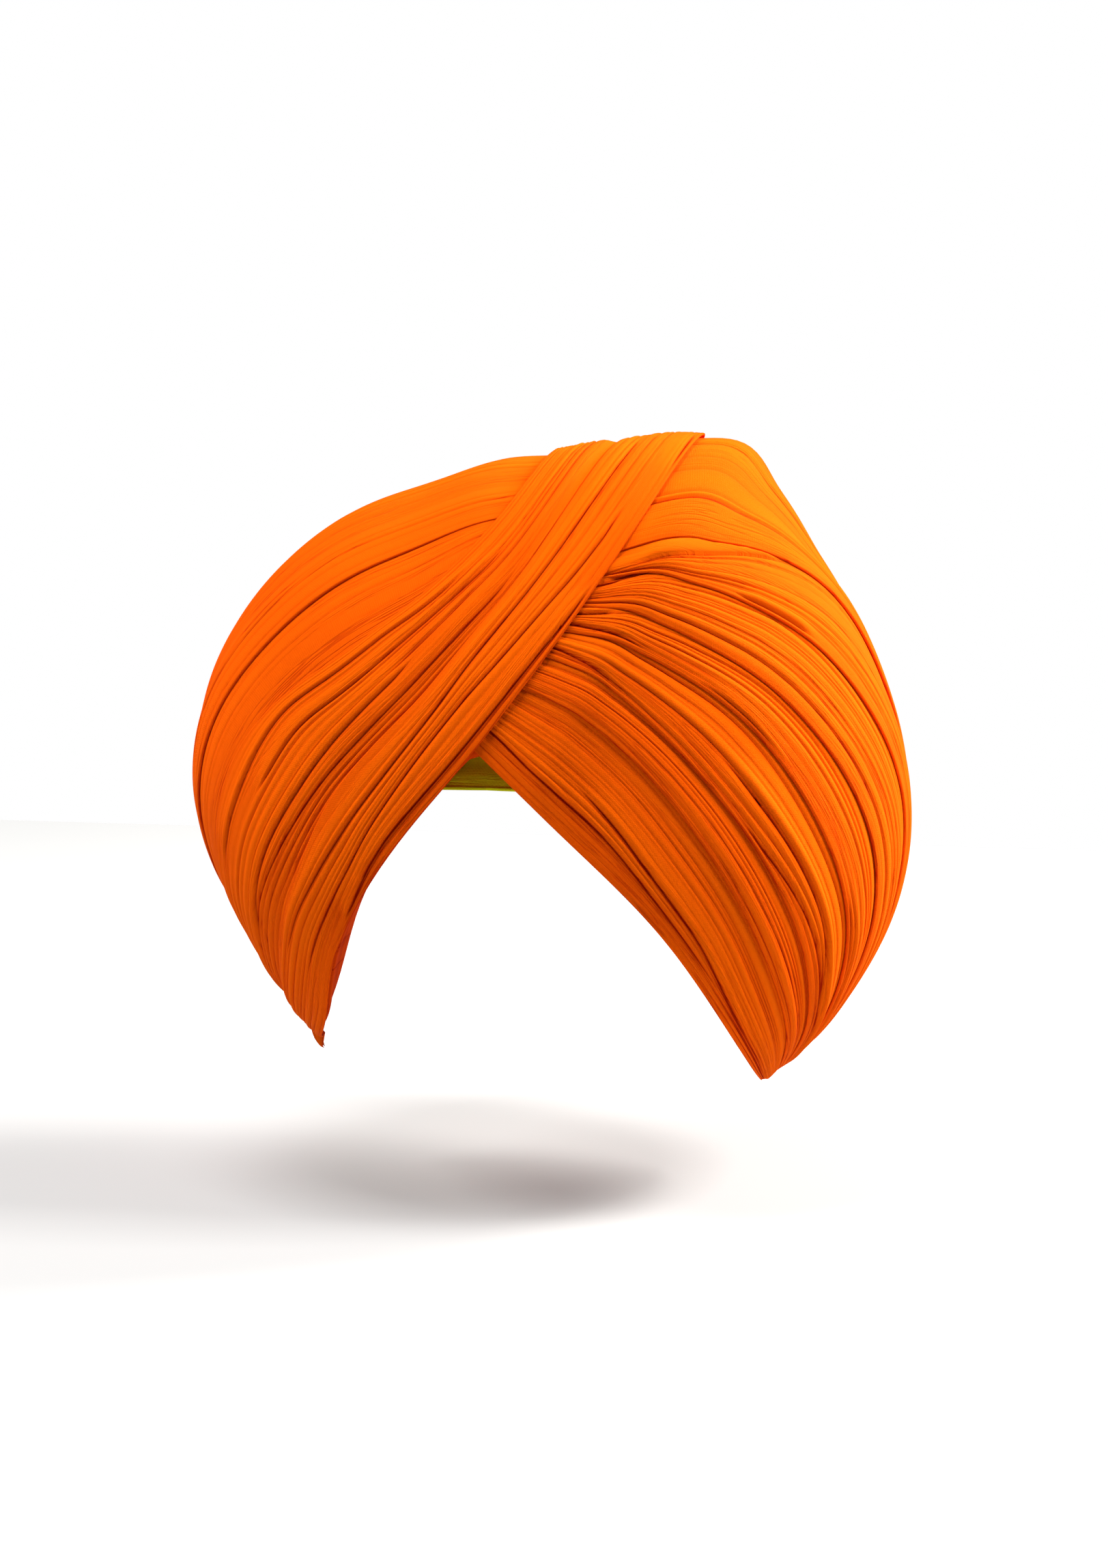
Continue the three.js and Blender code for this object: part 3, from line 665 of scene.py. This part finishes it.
def turn_points(along, low, high, way, mm, lift, seed, pleats, relief, tuck=0.0, traced=(), both=False,
                crowd=1.0, pinch=1.0, closed_ends=False):
    """Each row of the turn as a closed section. low and high are its edges across the turn, in
    degrees, way(along, across) the direction, mm(along, across) the millimetres in a degree,
    lift(along, share) the layers that lie under it, tuck the degrees it reaches on under the next
    turn, and pinch how far it is pressed thin at each row. With both, its upper edge is rolled too,
    and with closed_ends it is pressed thin at both ends, not only at the first. It also gives the flat width
    and length."""
    rng = np.random.default_rng(seed)
    from_end = np.minimum(along - along[0], along[-1] - along) if closed_ends else along - along[0]
    pinch = pinch * (PINCHED + (1 - PINCHED) * ease(from_end / PINCH_ARC))
    hand = np.sign(np.mean(high - low))
    scale = mm(along, (low + high) / 2)
    width = np.abs(high - low) * scale
    whole = width + np.abs(tuck) * scale
    edge_way = way(along, low)
    near_tip = 1 - ease((from_nearest_tip(edge_way) - GATHER_FROM) / GATHER_OVER)
    caught = GATHER_AT_TIP * near_tip + GATHER_PINCHED * (1 - pinch)
    roll = np.minimum(gathered(edge_way) * pinch * FACE_THICK / 2, whole * WIDEST_ROLL)
    end = whole - roll if both else whole
    lines = pleat_lines(roll, end, traced, pleats, relief, crowd, caught, rng)
    narrow = finer_where_narrow(scale, whole, len(lines))[:, None]
    outer_u = pleat_columns(lines)
    columns = outer_u.shape[1]
    back_u = outer_u[:, ::-1][:, np.linspace(0, columns - 1, BACK_COLUMNS).astype(int)]
    bend = np.radians(np.linspace(EDGE_BEND, -EDGE_BEND, EDGE_POINTS))
    turned_in = roll[:, None] * (1 - np.cos(bend))
    edge_rise = 0.5 + 0.5 * np.sin(bend)
    edge_shade = np.linspace(EDGE_SHADE, HIDDEN_SHADE, EDGE_POINTS)
    parts = [
        # mm from the lower edge, share of the thickness, painted shade level
        (turned_in[:, ::-1], edge_rise[::-1], edge_shade[::-1]),
        (outer_u, 1, FLAT_SHADE),
        (whole[:, None] - turned_in, edge_rise, edge_shade),
        (back_u, 0, BACK_SHADE),
        (turned_in[:, -1:], edge_rise[-1:], edge_shade[-1:]),
    ]
    if not both:
        del parts[2]
    points, folds = [], []
    for u, rise, fold in parts:
        share = u / width[:, None]
        d = way(along[:, None], low[:, None] + hand * u / scale[:, None])
        held = gathered(d) * pinch[:, None]
        up = LAY_GAP + held * (BELOW_FACE + FACE_STEP * lift(along, share) + FACE_THICK * rise)
        if u is outer_u:
            soft = ease((u - roll[:, None]) / (SOFT_LOW * narrow))
            soft = soft * ease((end[:, None] - u) / (SOFT_HIGH * narrow))
            covered = 1 if both else COVERED_RELIEF + (1 - COVERED_RELIEF) * ease((1.02 - share) / 0.06)
            relief_here = pleated(u, lines, narrow) * soft
            swell = FACE_SWELL * np.sin(np.clip(share, 0, 1) * math.pi)
            up = up + (relief_here * covered + swell) * narrow
            # Painted shade in the grooves and painted highlight on the ridges and steps of the pleats.
            fold = np.clip(FLAT_SHADE + relief_here * SHADE_PER_MM, 0, 1)
        points.append(d * (laid(d) + up)[..., None] + DOME_CENTRE)
        folds.append(np.broadcast_to(fold, u.shape))
    points = np.concatenate(points, axis=1)
    steps = np.linalg.norm(np.diff(points[:, columns // 2], axis=0), axis=1)
    length = np.concatenate([[0], np.cumsum(steps)])
    u = np.concatenate([u for u, _, _ in parts], axis=1)
    flat_u = (u / whole[:, None] - 0.5) * np.mean(whole)
    cloth_map = np.stack([flat_u, np.broadcast_to(length[:, None], u.shape)], axis=-1)
    return points, np.concatenate(folds, axis=1), cloth_map, float(np.mean(whole)), float(length[-1])


def under_next(share):
    """A turn lies on the last one along its lower edge, and comes down beyond the lap."""
    return 1 - ease((share - LAP - LAP_EDGE) / LAP_FALL)


print("layers under a turn's middle:", round(float(under_next(0.6)), 2))

# %% [markdown]
# ## The under-turban band
# A narrow band of olive cotton is tied round the head first, and a small triangle of it shows where
# the turns meet over the forehead. A strip could be draped over a head by simulation, but this one is
# pulled tight, so it is a ring whose section follows the head, with a few soft level creases.

# %% Olive band
UNDER = {"azimuth": [0, 45, 90, 135, 180], "elevation": [24, 23, 18, 15, 14], "tall": 24}
UNDER_SCALE, UNDER_CREASE, UNDER_EDGE, CREASE_TURN = 1.5, 0.28, 0.08, 21


def olive_band():
    azimuth = np.linspace(0, 360, 241)
    folded = np.abs(np.where(azimuth > 180, azimuth - 360, azimuth))
    low = through(UNDER["azimuth"], UNDER["elevation"], folded)[:, None]
    share = np.linspace(0, 1, 36)
    face = low + UNDER["tall"] * share[None, :]
    crease = UNDER_CREASE * np.sin(share * CREASE_TURN + 0.8 * np.sin(np.radians(azimuth * 3))[:, None])
    crease = crease * ease(share / UNDER_EDGE) * ease((1 - share) / UNDER_EDGE)
    bend = np.radians(np.linspace(-80, 80, 7))
    edge = UNDER_THICK / 2 / UNDER_SCALE
    lower = low + edge * (1 - np.cos(bend))[None, :]
    upper = low + UNDER["tall"] - edge * (1 - np.cos(bend))[None, :]
    parts = [
        # elevation, mm off the head, painted shade level
        (lower, UNDER_THICK * (0.5 + 0.5 * np.sin(bend)), 0.5),
        # Painted shade in the hollows of the creases and painted highlight on their ridges.
        (face + edge * (1 - 2 * share)[None, :], UNDER_THICK + crease - UNDER_CREASE, 0.55 + crease * 0.6),
        (upper, UNDER_THICK * (0.5 - 0.5 * np.sin(bend)), 0.5),
        (face[:, ::-6], 0, 0.4),
        (lower[:, :1], UNDER_THICK * (0.5 + 0.5 * np.sin(bend[:1])), 0.5),
    ]
    elevation = np.concatenate([e for e, _, _ in parts], axis=1)
    up = np.concatenate([np.broadcast_to(u, e.shape) for e, u, _ in parts], axis=1)
    fold = np.concatenate([np.broadcast_to(f, e.shape) for e, _, f in parts], axis=1)
    points = compass(azimuth[:, None], elevation)
    points = points * (head_radius(points) + UNDER_SEAT + up)[..., None] + DOME_CENTRE
    round_it = np.broadcast_to(azimuth[:, None] * UNDER_SCALE, elevation.shape)
    cloth_map = np.stack([elevation * UNDER_SCALE, round_it], axis=-1)
    return lay_cloth("olive_band_cloth", points, fold, cloth_map, olive_cotton, ring=True)


olive = olive_band()
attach(olive, "root")
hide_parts("under_turban_band")
print("olive band faces:", len(olive.data.polygons))

# %% [markdown]
# ## The inner turns
# Under the turns that show there are many more, wound one over another until the turban has its
# bulk. They can't be seen except inside, so they are one padded bowl: its outside carries the
# other turns, and its hollow is the shape of the head and the hair knot, with the lines of the turns.

# %% The lines of the turns
# Bearings round a tip at some distances from it, and angles round the band's loop, all in degrees.
LEFT_FIRST_ARC, LEFT_LAST_ARC, RIGHT_FIRST_ARC, RIGHT_LAST_ARC = 1.5, 116, 0.6, 130
LEFT_LINES = {
    "arc": [6, 25, 45, 65, 85, 100, 116],
    "face_edge": [81.4, 79.4, 76.4, 73.2, 72.9, 72.8, 72],
    "forehead_fold": [66, 64, 61.5, 58.5, 56, 56, 59],
    "brow_fold": [57, 55, 52.5, 51, 50, 50, 53],
    "temple_fold": [44, 41, 39, 39, 39.5, 43.5, 49],
    "rolled_fold": [32, 29, 27, 29.5, 33, 38.5, 45],
    "upper_fold": [10, 5, 5, 13.5, 22, 31, 41.5],
    "crown_front": [-6, -9, -12, -9, 5, 24, 37.5],
    "crown_back": [-24, -24, -24, -23, -22, -26, -34],
    "back_fold_1": [-38, -36, -35, -34, -36, -42, -52],
    "back_fold_2": [-50, -46, -43, -44, -54, -64, -76],
    "nape_edge": [-62, -56, -52, -60, -79, -89, -99],
}
LEFT_END = {"bearing": [-101, -76, -52, -34, -15, 80], "arc": [109, 109, 110, 113, 116, 116]}
SIDE_LINES = {
    "arc": [6, 25, 45, 65, 85, 105, 120, 130],
    "band_front": [49, 48, 47, 46.5, 45.5, 46, 45, 40],
    "band_back": [31, 41, 46, 46, 45, 45, 44, 40],
    "shoulder_fold": [33, 32, 31, 31, 31.5, 31, 31, 31],
}
SIDE_END = {
    "bearing": [-50, -45, -31, -22, -12, 0, 12, 22, 31, 40, 50],
    "arc": [104, 111, 126, 132.5, 137, 139.5, 139.5, 138, 135, 128, 118],
}
BAND_LINES = {
    "turn": [1, 5, 12, 25, 45, 65, 90, 120, 150, 180, 210, 240, 270, 295, 315, 335, 348, 355, 359],
    "hem_edge": [86.2, 85.4, 83.6, 83.2, 81, 73, 67.6, 67, 68, 68,
                 69, 72, 75, 70.5, 66.5, 69, 72.8, 78.4, 85.5],
    "band_fold": [86, 83.4, 79.4, 73.8, 66.6, 59.8, 53, 54, 57, 58,
                  59, 62, 63.5, 62, 61.9, 66.2, 70.8, 77, 85.2],
    "side_edge": [85.8, 80.5, 71, 57, 44, 36, 34, 40, 48, 49.5,
                  49.5, 50, 49, 51, 56.3, 63, 69, 75.8, 84.9],
}


def rise_from(frame, ends, last_arc, arc, bearing):
    end = through(ends["bearing"], ends["arc"], bearing)
    return around(frame, TIP_ARC + (end - TIP_ARC) * (arc - TIP_ARC) / (last_arc - TIP_ARC), bearing)


def left_at(arc, bearing):
    return rise_from(left_tip, LEFT_END, LEFT_LAST_ARC, arc, bearing)


def right_at(arc, bearing):
    return rise_from(right_tip, SIDE_END, RIGHT_LAST_ARC, arc, bearing)


def band_at(turn, angle):
    return around(band_loop, angle, turn)


def left_line(key, arc):
    return through(LEFT_LINES["arc"], LEFT_LINES[key], arc)


def side_line(key, arc):
    return through(SIDE_LINES["arc"], SIDE_LINES[key], arc)


def band_line(key, turn):
    return through(BAND_LINES["turn"], BAND_LINES[key], turn)


print("folded lines on the left:", len(LEFT_LINES) - 1)

# %% The rim that the inner turns end at
RIM_INSET, TIP_INSET, TIP_INSET_SPREAD, RIM_ROLL = 2.2, 11, 24, 1.2
RIM_THICK, RIM_SLANT, WIDEST_SLANT = 3, 0.55, 14


def lowest_edges():
    arc = np.linspace(0.5, LEFT_LAST_ARC, 60)
    lines = [left_at(arc, left_line(key, arc)) for key in ("face_edge", "nape_edge")]
    turn = np.linspace(1, 359, 160)
    lines.append(band_at(turn, band_line("hem_edge", turn)))
    return [(np.degrees(np.arctan2(d[:, 0], -d[:, 1])), np.degrees(np.arcsin(d[:, 2]))) for d in lines]


EDGES = lowest_edges()


def rim_elevation(azimuth):
    """Where the rim lies at one azimuth: a little above the lowest edge that crosses it there."""
    lowest = 90.0
    for turned, high in EDGES:
        off = turned - azimuth
        off = off - np.round(off / 360) * 360
        a, b = off[:-1], off[1:]
        for i in np.nonzero((np.abs(b - a) < 60) & (a * b <= 0) & (a != b))[0]:
            lowest = min(lowest, high[i] + (high[i + 1] - high[i]) * a[i] / (a[i] - b[i]))
    tip = (right_tip if azimuth < 0 else left_tip)["out"]
    above_tip = math.degrees(math.asin(tip[2])) + TIP_INSET
    off = azimuth - math.degrees(math.atan2(tip[0], -tip[1]))
    inset = RIM_INSET + (TIP_INSET - RIM_INSET) * math.exp(-((off / TIP_INSET_SPREAD) ** 2))
    return above_tip if lowest > 60 else max(above_tip, lowest + inset)


print("rim at the brow and the nape:", round(rim_elevation(0), 1), round(rim_elevation(180), 1))


# %% The padded bowl
BOWL_OVER_LAID, PEAK_DIP, PEAK_ROLL, PEAK_SPREAD = 1.3, 1.2, 26, 18
TIP_DIP, TIP_DIP_FROM, TIP_DIP_OVER = 1.4, 8, 24
OUTSIDE_ROWS, RIM_ROWS, INSIDE_ROWS, TOP_SHARE = 34, 15, 70, 0.01
# Painted shade levels of the bowl's cloth, outside and in the hollow.
RIM_INWARD, OUTSIDE_SHADE, INSIDE_SHADE = 0.94, 0.35, 0.25
TURNS_INSIDE, TURN_RELIEF = 24, 0.9
MM_ROUND, MM_UP = 1.6, 1.7


def bowl_outside(d):
    """The bowl fills up to the turns, and stands back at the peak and at the tips."""
    from_peak = (np.degrees(np.arctan2(d[..., 0], d[..., 2])) - PEAK_ROLL) / PEAK_SPREAD
    near_tip = 1 - ease((from_nearest_tip(d) - TIP_DIP_FROM) / TIP_DIP_OVER)
    return laid(d) + BOWL_OVER_LAID - PEAK_DIP * np.exp(-(from_peak**2)) - TIP_DIP * near_tip


def lapped_inside(azimuth, share):
    """Relief of the hollow: the lower edges of the inner turns, one over another, a little aslant."""
    a = np.radians(azimuth)
    lean = share * TURNS_INSIDE + 1.6 * np.sin(a + 0.6) + 0.8 * np.sin(2 * a)
    step = lean - np.floor(lean)
    relief = TURN_RELIEF * (1 - step) * ease(step / 0.12)
    return relief * ease((share - 0.12) / 0.2) * ease((1 - share) / 0.05)


def padded_bowl():
    azimuth = np.linspace(-180, 180, 181)
    rim = np.array([rim_elevation(a) for a in azimuth[:-1]])
    rim = np.append(rim, rim[0])
    rim = np.convolve(np.concatenate([rim[-5:-1], rim, rim[1:5]]), np.ones(3) / 3, "same")[4:-4]
    edge_way = compass(azimuth, rim)
    slant = np.clip((bowl_outside(edge_way) - hollow_radius(edge_way)) * RIM_SLANT, 0, WIDEST_SLANT)
    elevation, radius, folds = [], [], []
    for share in np.linspace(TOP_SHARE, 1, OUTSIDE_ROWS):
        e = 90 - (90 - rim) * share
        elevation.append(e)
        radius.append(bowl_outside(compass(azimuth, e)))
        folds.append(np.full(len(e), OUTSIDE_SHADE))
    for part in np.linspace(0, 1, RIM_ROWS)[:-1]:
        e = rim + slant * part - RIM_ROLL * (1 - part)
        d = compass(azimuth, e)
        inward = ease(part * 1.15) * RIM_INWARD
        under_turns = bowl_outside(d) - RIM_THICK * min(1, 0.3 + part * 6)
        elevation.append(e)
        radius.append(under_turns * (1 - inward) + hollow_radius(d) * inward)
        # Painted shade and painted highlight in alternate rows round the rim.
        folds.append(np.full(len(e), 0.3 + 0.2 * (int(part * (RIM_ROWS - 1)) % 2)))
    for share in np.linspace(1, TOP_SHARE, INSIDE_ROWS):
        e = 90 - (90 - rim - slant) * share
        relief = lapped_inside(azimuth, share)
        elevation.append(e)
        radius.append(hollow_radius(compass(azimuth, e)) + TURN_RELIEF - relief)
        # Painted highlight on the lapped edges in the hollow, painted shade between them.
        folds.append(INSIDE_SHADE + 0.35 * relief)
    elevation = np.stack(elevation, axis=1)
    d = compass(azimuth[:, None], elevation)
    points = d * np.stack(radius, axis=1)[..., None] + DOME_CENTRE
    points[:, 0] = points[:, 0].mean(axis=0)
    points[:, -1] = points[:, -1].mean(axis=0)
    round_it = np.broadcast_to(azimuth[:, None] * MM_ROUND, elevation.shape)
    cloth_map = np.stack([elevation * MM_UP, round_it], axis=-1)
    folds = np.stack(folds, axis=1)
    return lay_cloth("inner_turns_cloth", points, folds, cloth_map, inner_voile, ring=True)


bowl = padded_bowl()
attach(bowl, "root")
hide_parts("inner_turns")
print("bowl faces:", len(bowl.data.polygons))

# %% [markdown]
# ## The turns on the wearer's left and at the back
# From the left tip the cloth is taken up again and again, each turn lying half over the last, so the
# turns spread like a fan over the temple and are caught under the front band. Each is one row of a
# table: its lower edge, the edge that the next turn hides, and how high it stands. The folds that
# cross a turn's face were traced as bearings round the tip, and are tables too.

# %% Folds that show on the turns of the left side
LEFT_FOLDS = [
    {"arc": [80, 83, 93, 103, 112], "bearing": [-1, 2, 15, 29, 41], "tall": 0.9, "wide": 3.5},
    {"arc": [62, 69, 80, 90, 98, 112], "bearing": [12, 16, 20, 24, 30, 43], "tall": 1.1, "wide": 4},
    {"arc": [46, 64, 78, 92, 100, 112], "bearing": [15, 24, 27, 33, 37, 45], "tall": 0.9, "wide": 4},
    {"arc": [41, 60, 84, 99, 112], "bearing": [38, 39, 39, 43, 46], "tall": 0.9, "wide": 3},
    {"arc": [90, 95, 99, 103], "bearing": [3, 11, 16, 23], "tall": 0.6, "wide": 3},
    {"arc": [32, 42, 49, 73], "bearing": [52, 47, 46, 46], "tall": 1.0, "wide": 4},
    {"arc": [45, 60, 76, 87], "bearing": [73, 69, 67, 65], "tall": 1.0, "wide": 3},
    {"arc": [60, 77, 84, 109, 113], "bearing": [71, 69, 68, 68, 67], "tall": 0.6, "wide": 4},
    {"arc": [30, 50, 66, 90, 112], "bearing": [50, 49, 50, 50, 50], "tall": 0.6, "wide": 3},
]
FADE_ARC, FADE_MM, LEAST_SHOWN = 9, 1.5, 0.05


def folds_on(table, key, along, low, high, scale):
    """The traced folds that cross a turn, as distances in mm from its lower edge at each row."""
    found = []
    hand = np.sign(np.mean(high - low))
    for fold in table:
        inside = np.clip(along, fold[key][0], fold[key][-1])
        ends = [np.interp(inside, along, edge) for edge in (low, high)]
        share = (through(fold[key], fold["bearing"], inside) - ends[0]) / (ends[1] - ends[0])
        at = low + (high - low) * share
        begun, left = along - fold[key][0] + FADE_ARC, fold[key][-1] + FADE_ARC - along
        shown = ease(begun / FADE_ARC) * ease(left / FADE_ARC)
        edge = (at - low) * hand * scale
        within = ease(edge / FADE_MM - 0.5) * ease((np.abs(high - low) * scale - edge) / FADE_MM)
        if np.max(shown * within) > LEAST_SHOWN:
            found.append((edge, shown * within, fold["tall"], fold["wide"]))
    return found


print("traced folds on the left:", len(LEFT_FOLDS))

# %% The fan of turns
LEFT_TURNS = [
    # name, lower edge, upper edge, next edge, lift, fine pleats, their depth, how they crowd low down
    ("left_turn_1", "face_edge", "forehead_fold", "brow_fold", 0.2, 22, 0.5, 1.5),
    ("left_turn_2", "forehead_fold", "brow_fold", "temple_fold", 1, 9, 0.5, 1),
    ("left_turn_3", "brow_fold", "temple_fold", "rolled_fold", 1, 10, 0.5, 1),
    ("left_turn_4", "temple_fold", "rolled_fold", "upper_fold", 1, 9, 0.55, 1),
    ("left_turn_5", "rolled_fold", "upper_fold", "crown_front", 1, 15, 0.55, 0.8),
    ("left_turn_6", "upper_fold", "crown_front", "crown_back", 1, 11, 0.5, 1),
    ("back_turn_1", "nape_edge", "back_fold_2", "back_fold_1", 0.2, 14, 0.5, 1.2),
    ("back_turn_2", "back_fold_2", "back_fold_1", "crown_back", 1, 10, 0.45, 1),
    ("back_turn_3", "back_fold_1", "crown_back", "crown_front", 1, 10, 0.45, 1),
]
TURN_ROWS, CROWN_ROWS, BEND_ROWS, TURN_STAND = 130, 140, 25, 4
LEFT_HELD, RIGHT_HELD, HELD_THINNER = (74, 118), (96, 130), 0.4


def pulled_tight(along, held):
    """The turns thin out where the front band holds them down."""
    return 1 - HELD_THINNER * ease((along - held[0]) / (held[1] - held[0]))


def mm_round(tip, d):
    """Millimetres in one degree of bearing round a tip."""
    return (laid(d) + TURN_STAND) * np.sin(np.radians(away_from(d, tip["out"]))) * math.pi / 180


def left_mm(along, across):
    return mm_round(left_tip, left_at(along, across))


def right_mm(along, across):
    return mm_round(right_tip, right_at(along, across))


def lay_turn(name, section):
    points, fold, cloth_map, width, length = section
    piece = lay_cloth(name + "_cloth", points, fold, cloth_map, orange_voile)
    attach(piece, "root")
    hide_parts(name)
    print(name, "width", round(width), "length", round(length), "faces", len(piece.data.polygons))
    return piece


def softened(line):
    """A line with its bends spread over a few rows; its two ends stay where they are."""
    straight = np.linspace(line[0], line[-1], len(line))
    extra = np.pad(line - straight, BEND_ROWS // 2, mode="reflect", reflect_type="odd")
    return straight + np.convolve(extra, np.ones(BEND_ROWS) / BEND_ROWS, "valid")


along = np.linspace(LEFT_FIRST_ARC, LEFT_LAST_ARC, TURN_ROWS)
for seed, (name, low_key, high_key, next_key, stand, pleats, relief, crowd) in enumerate(LEFT_TURNS, 11):
    low, high, after = (softened(left_line(key, along)) for key in (low_key, high_key, next_key))
    tuck = np.minimum(np.abs(after - high) * LAP, WIDEST_LAP)
    lift = lambda a, s, stand=stand: stand * under_next(s)
    traced = folds_on(LEFT_FOLDS, "arc", along, low, high, left_mm(along, (low + high) / 2))
    section = turn_points(along, low, high, left_at, left_mm, lift, seed, pleats, relief, tuck, traced,
                          crowd=crowd, pinch=pulled_tight(along, LEFT_HELD))
    lay_turn(name, section)

# %% [markdown]
# ## The wide turns over the top
# On each side one wide turn goes over the crown, and both of its edges lie over its neighbours. It
# is laid as the others are, with a rolled edge on each side.

# %% Crown turns
WIDEST_SHARE, BEYOND_LAP, EDGE_FALL = 0.42, 0.8, 0.09


def over_both(width_degrees):
    """A turn that lies over its neighbours along both edges, and comes down between them."""
    lap = (np.minimum(width_degrees * LAP, WIDEST_LAP) + BEYOND_LAP) / width_degrees
    lap = np.minimum(WIDEST_SHARE, lap)[:, None]
    return lambda along, share: 1 - ease((np.minimum(share, 1 - share) - lap) / EDGE_FALL)


front, back = (softened(left_line(key, along)) for key in ("crown_front", "crown_back"))
section = turn_points(along, front, back, left_at, left_mm, over_both(front - back),
                      seed=31, pleats=13, relief=0.7, both=True, pinch=pulled_tight(along, LEFT_HELD))
lay_turn("left_crown_turn", section)

along = np.linspace(RIGHT_FIRST_ARC, RIGHT_LAST_ARC, CROWN_ROWS)
side = side_line("shoulder_fold", along)
section = turn_points(along, side, -side, right_at, right_mm, over_both(2 * side),
                      seed=32, pleats=24, relief=0.22, both=True, pinch=pulled_tight(along, RIGHT_HELD))
lay_turn("right_crown_turn", section)

# %% [markdown]
# ## The side turns
# Beside the front band on the wearer's right, a smoother stretch of cloth shows, with its fold at
# the shoulder of the turban. It lies flat and both its edges are covered, so nothing lifts it.

# %% Side turns
SIDE_TUCK = 4
SIDE_TURNS = [
    # name, forwards or backwards of the tip, lower edge, seed
    ("right_front_turn", 1, "band_front", 33),
    ("right_back_turn", -1, "band_back", 34),
]
along = np.linspace(RIGHT_FIRST_ARC, RIGHT_LAST_ARC, TURN_ROWS)
for name, hand, key, seed in SIDE_TURNS:
    low = side_line(key, along) * hand
    high = (side_line("shoulder_fold", along) - SIDE_TUCK) * hand
    section = turn_points(along, low, high, right_at, right_mm, lambda a, s: 0 * s,
                          seed, pleats=6, relief=0.25, pinch=pulled_tight(along, RIGHT_HELD))
    lay_turn(name, section)

# %% [markdown]
# ## The front band
# The last turn is the one that shows most. It starts at the right tip, crosses the forehead up to
# the crown on the left, goes down the back and returns to the tip. It lies in two parts here: a hem
# part with a clear line near its edge, and a part of many close pleats beside it. It lies over the
# ends of the other turns, so it stands higher there.

# %% Folds that show on the band
BAND_FOLDS = {
    "hem": [
        {"turn": [45, 53, 67, 76, 87, 110, 134, 153, 177], "bearing": [81, 79, 73, 69, 66, 65, 66, 68, 67.2],
         "tall": 0.9, "wide": 5},
        {"turn": [62, 74, 91, 115, 135, 153], "bearing": [69, 66, 62, 60, 62, 65], "tall": 0.7, "wide": 4},
        {"turn": [60, 90, 128, 151, 174], "bearing": [64, 58.5, 57.5, 60, 61], "tall": 0.8, "wide": 3},
    ],
    "side": [
        {"turn": [43, 56, 68, 78, 97, 114], "bearing": [62, 55, 51, 49, 47, 48], "tall": 0.9, "wide": 4},
        {"turn": [55, 77, 92, 108, 124, 135], "bearing": [44, 38, 36.5, 39.5, 43, 47],
         "tall": 0.7, "wide": 3},
        {"turn": [80, 92, 107, 124, 142], "bearing": [42, 40.5, 43, 46, 51], "tall": 0.9, "wide": 3},
        {"turn": [50, 70, 90, 115, 139], "bearing": [58, 53, 50, 51, 54.5], "tall": 0.6, "wide": 3},
    ],
}
print("traced folds on the band:", len(BAND_FOLDS["hem"]) + len(BAND_FOLDS["side"]))

# %% The front band
BAND_FIRST, BAND_LAST, BAND_ROWS, BAND_STAND, FOLD_TUCK = 1.2, 358.8, 400, 6, 2.2
# Where the band lies over the ends of the other turns: it starts to rise, has risen, starts to come
# down, and is down. Its lift there is counted in layers.
OVER_LEFT_TURNS, OVER_SIDE_TURNS = (74, 92, 284, 300), (112, 132, 222, 244)
OVER_LEFT_LIFT, OVER_SIDE_LIFT, HEM_LIFT, HEM_SHARE, HEM_RISE = 1.1, 0.3, 0.5, 0.45, 0.27
SIDE_FROM, SIDE_RISE = 0.02, 0.28


def plateau(edges, x):
    return ease((x - edges[0]) / (edges[1] - edges[0])) * ease((edges[3] - x) / (edges[3] - edges[2]))


def band_mm(along, across):
    return (laid(band_at(along, across)) + BAND_STAND) * math.pi / 180


def hem_lift(along, share):
    over = OVER_LEFT_LIFT * plateau(OVER_LEFT_TURNS, along)[:, None]
    low_part = np.maximum(over, HEM_LIFT * ease(share / HEM_SHARE))
    return 1 + (low_part - 1) * (1 - ease((share - HEM_SHARE) / HEM_RISE))


def side_lift(along, share):
    rise = ease((share - SIDE_FROM) / SIDE_RISE)
    return rise * (1 + OVER_SIDE_LIFT * plateau(OVER_SIDE_TURNS, along)[:, None])


along = np.linspace(BAND_FIRST, BAND_LAST, BAND_ROWS)
hem, fold_line, edge = (band_line(key, along) for key in ("hem_edge", "band_fold", "side_edge"))
traced = folds_on(BAND_FOLDS["hem"], "turn", along, hem, fold_line, band_mm(along, (hem + fold_line) / 2))
section = turn_points(along, hem, fold_line, band_at, band_mm, hem_lift,
                      seed=41, pleats=9, relief=0.35, traced=traced, both=True, closed_ends=True)
lay_turn("front_band_hem", section)

tuck = np.minimum(FOLD_TUCK, (hem - fold_line) * 0.2)
start = fold_line + tuck
traced = folds_on(BAND_FOLDS["side"], "turn", along, start, edge, band_mm(along, (start + edge) / 2))
tucked = (tuck / (start - edge))[:, None]
beside_tuck = lambda a, s: side_lift(a, (s - tucked) / (1 - tucked))
section = turn_points(along, start, edge, band_at, band_mm, beside_tuck,
                      seed=42, pleats=24, relief=0.48, traced=traced, both=True, closed_ends=True)
lay_turn("front_band_folds", section)
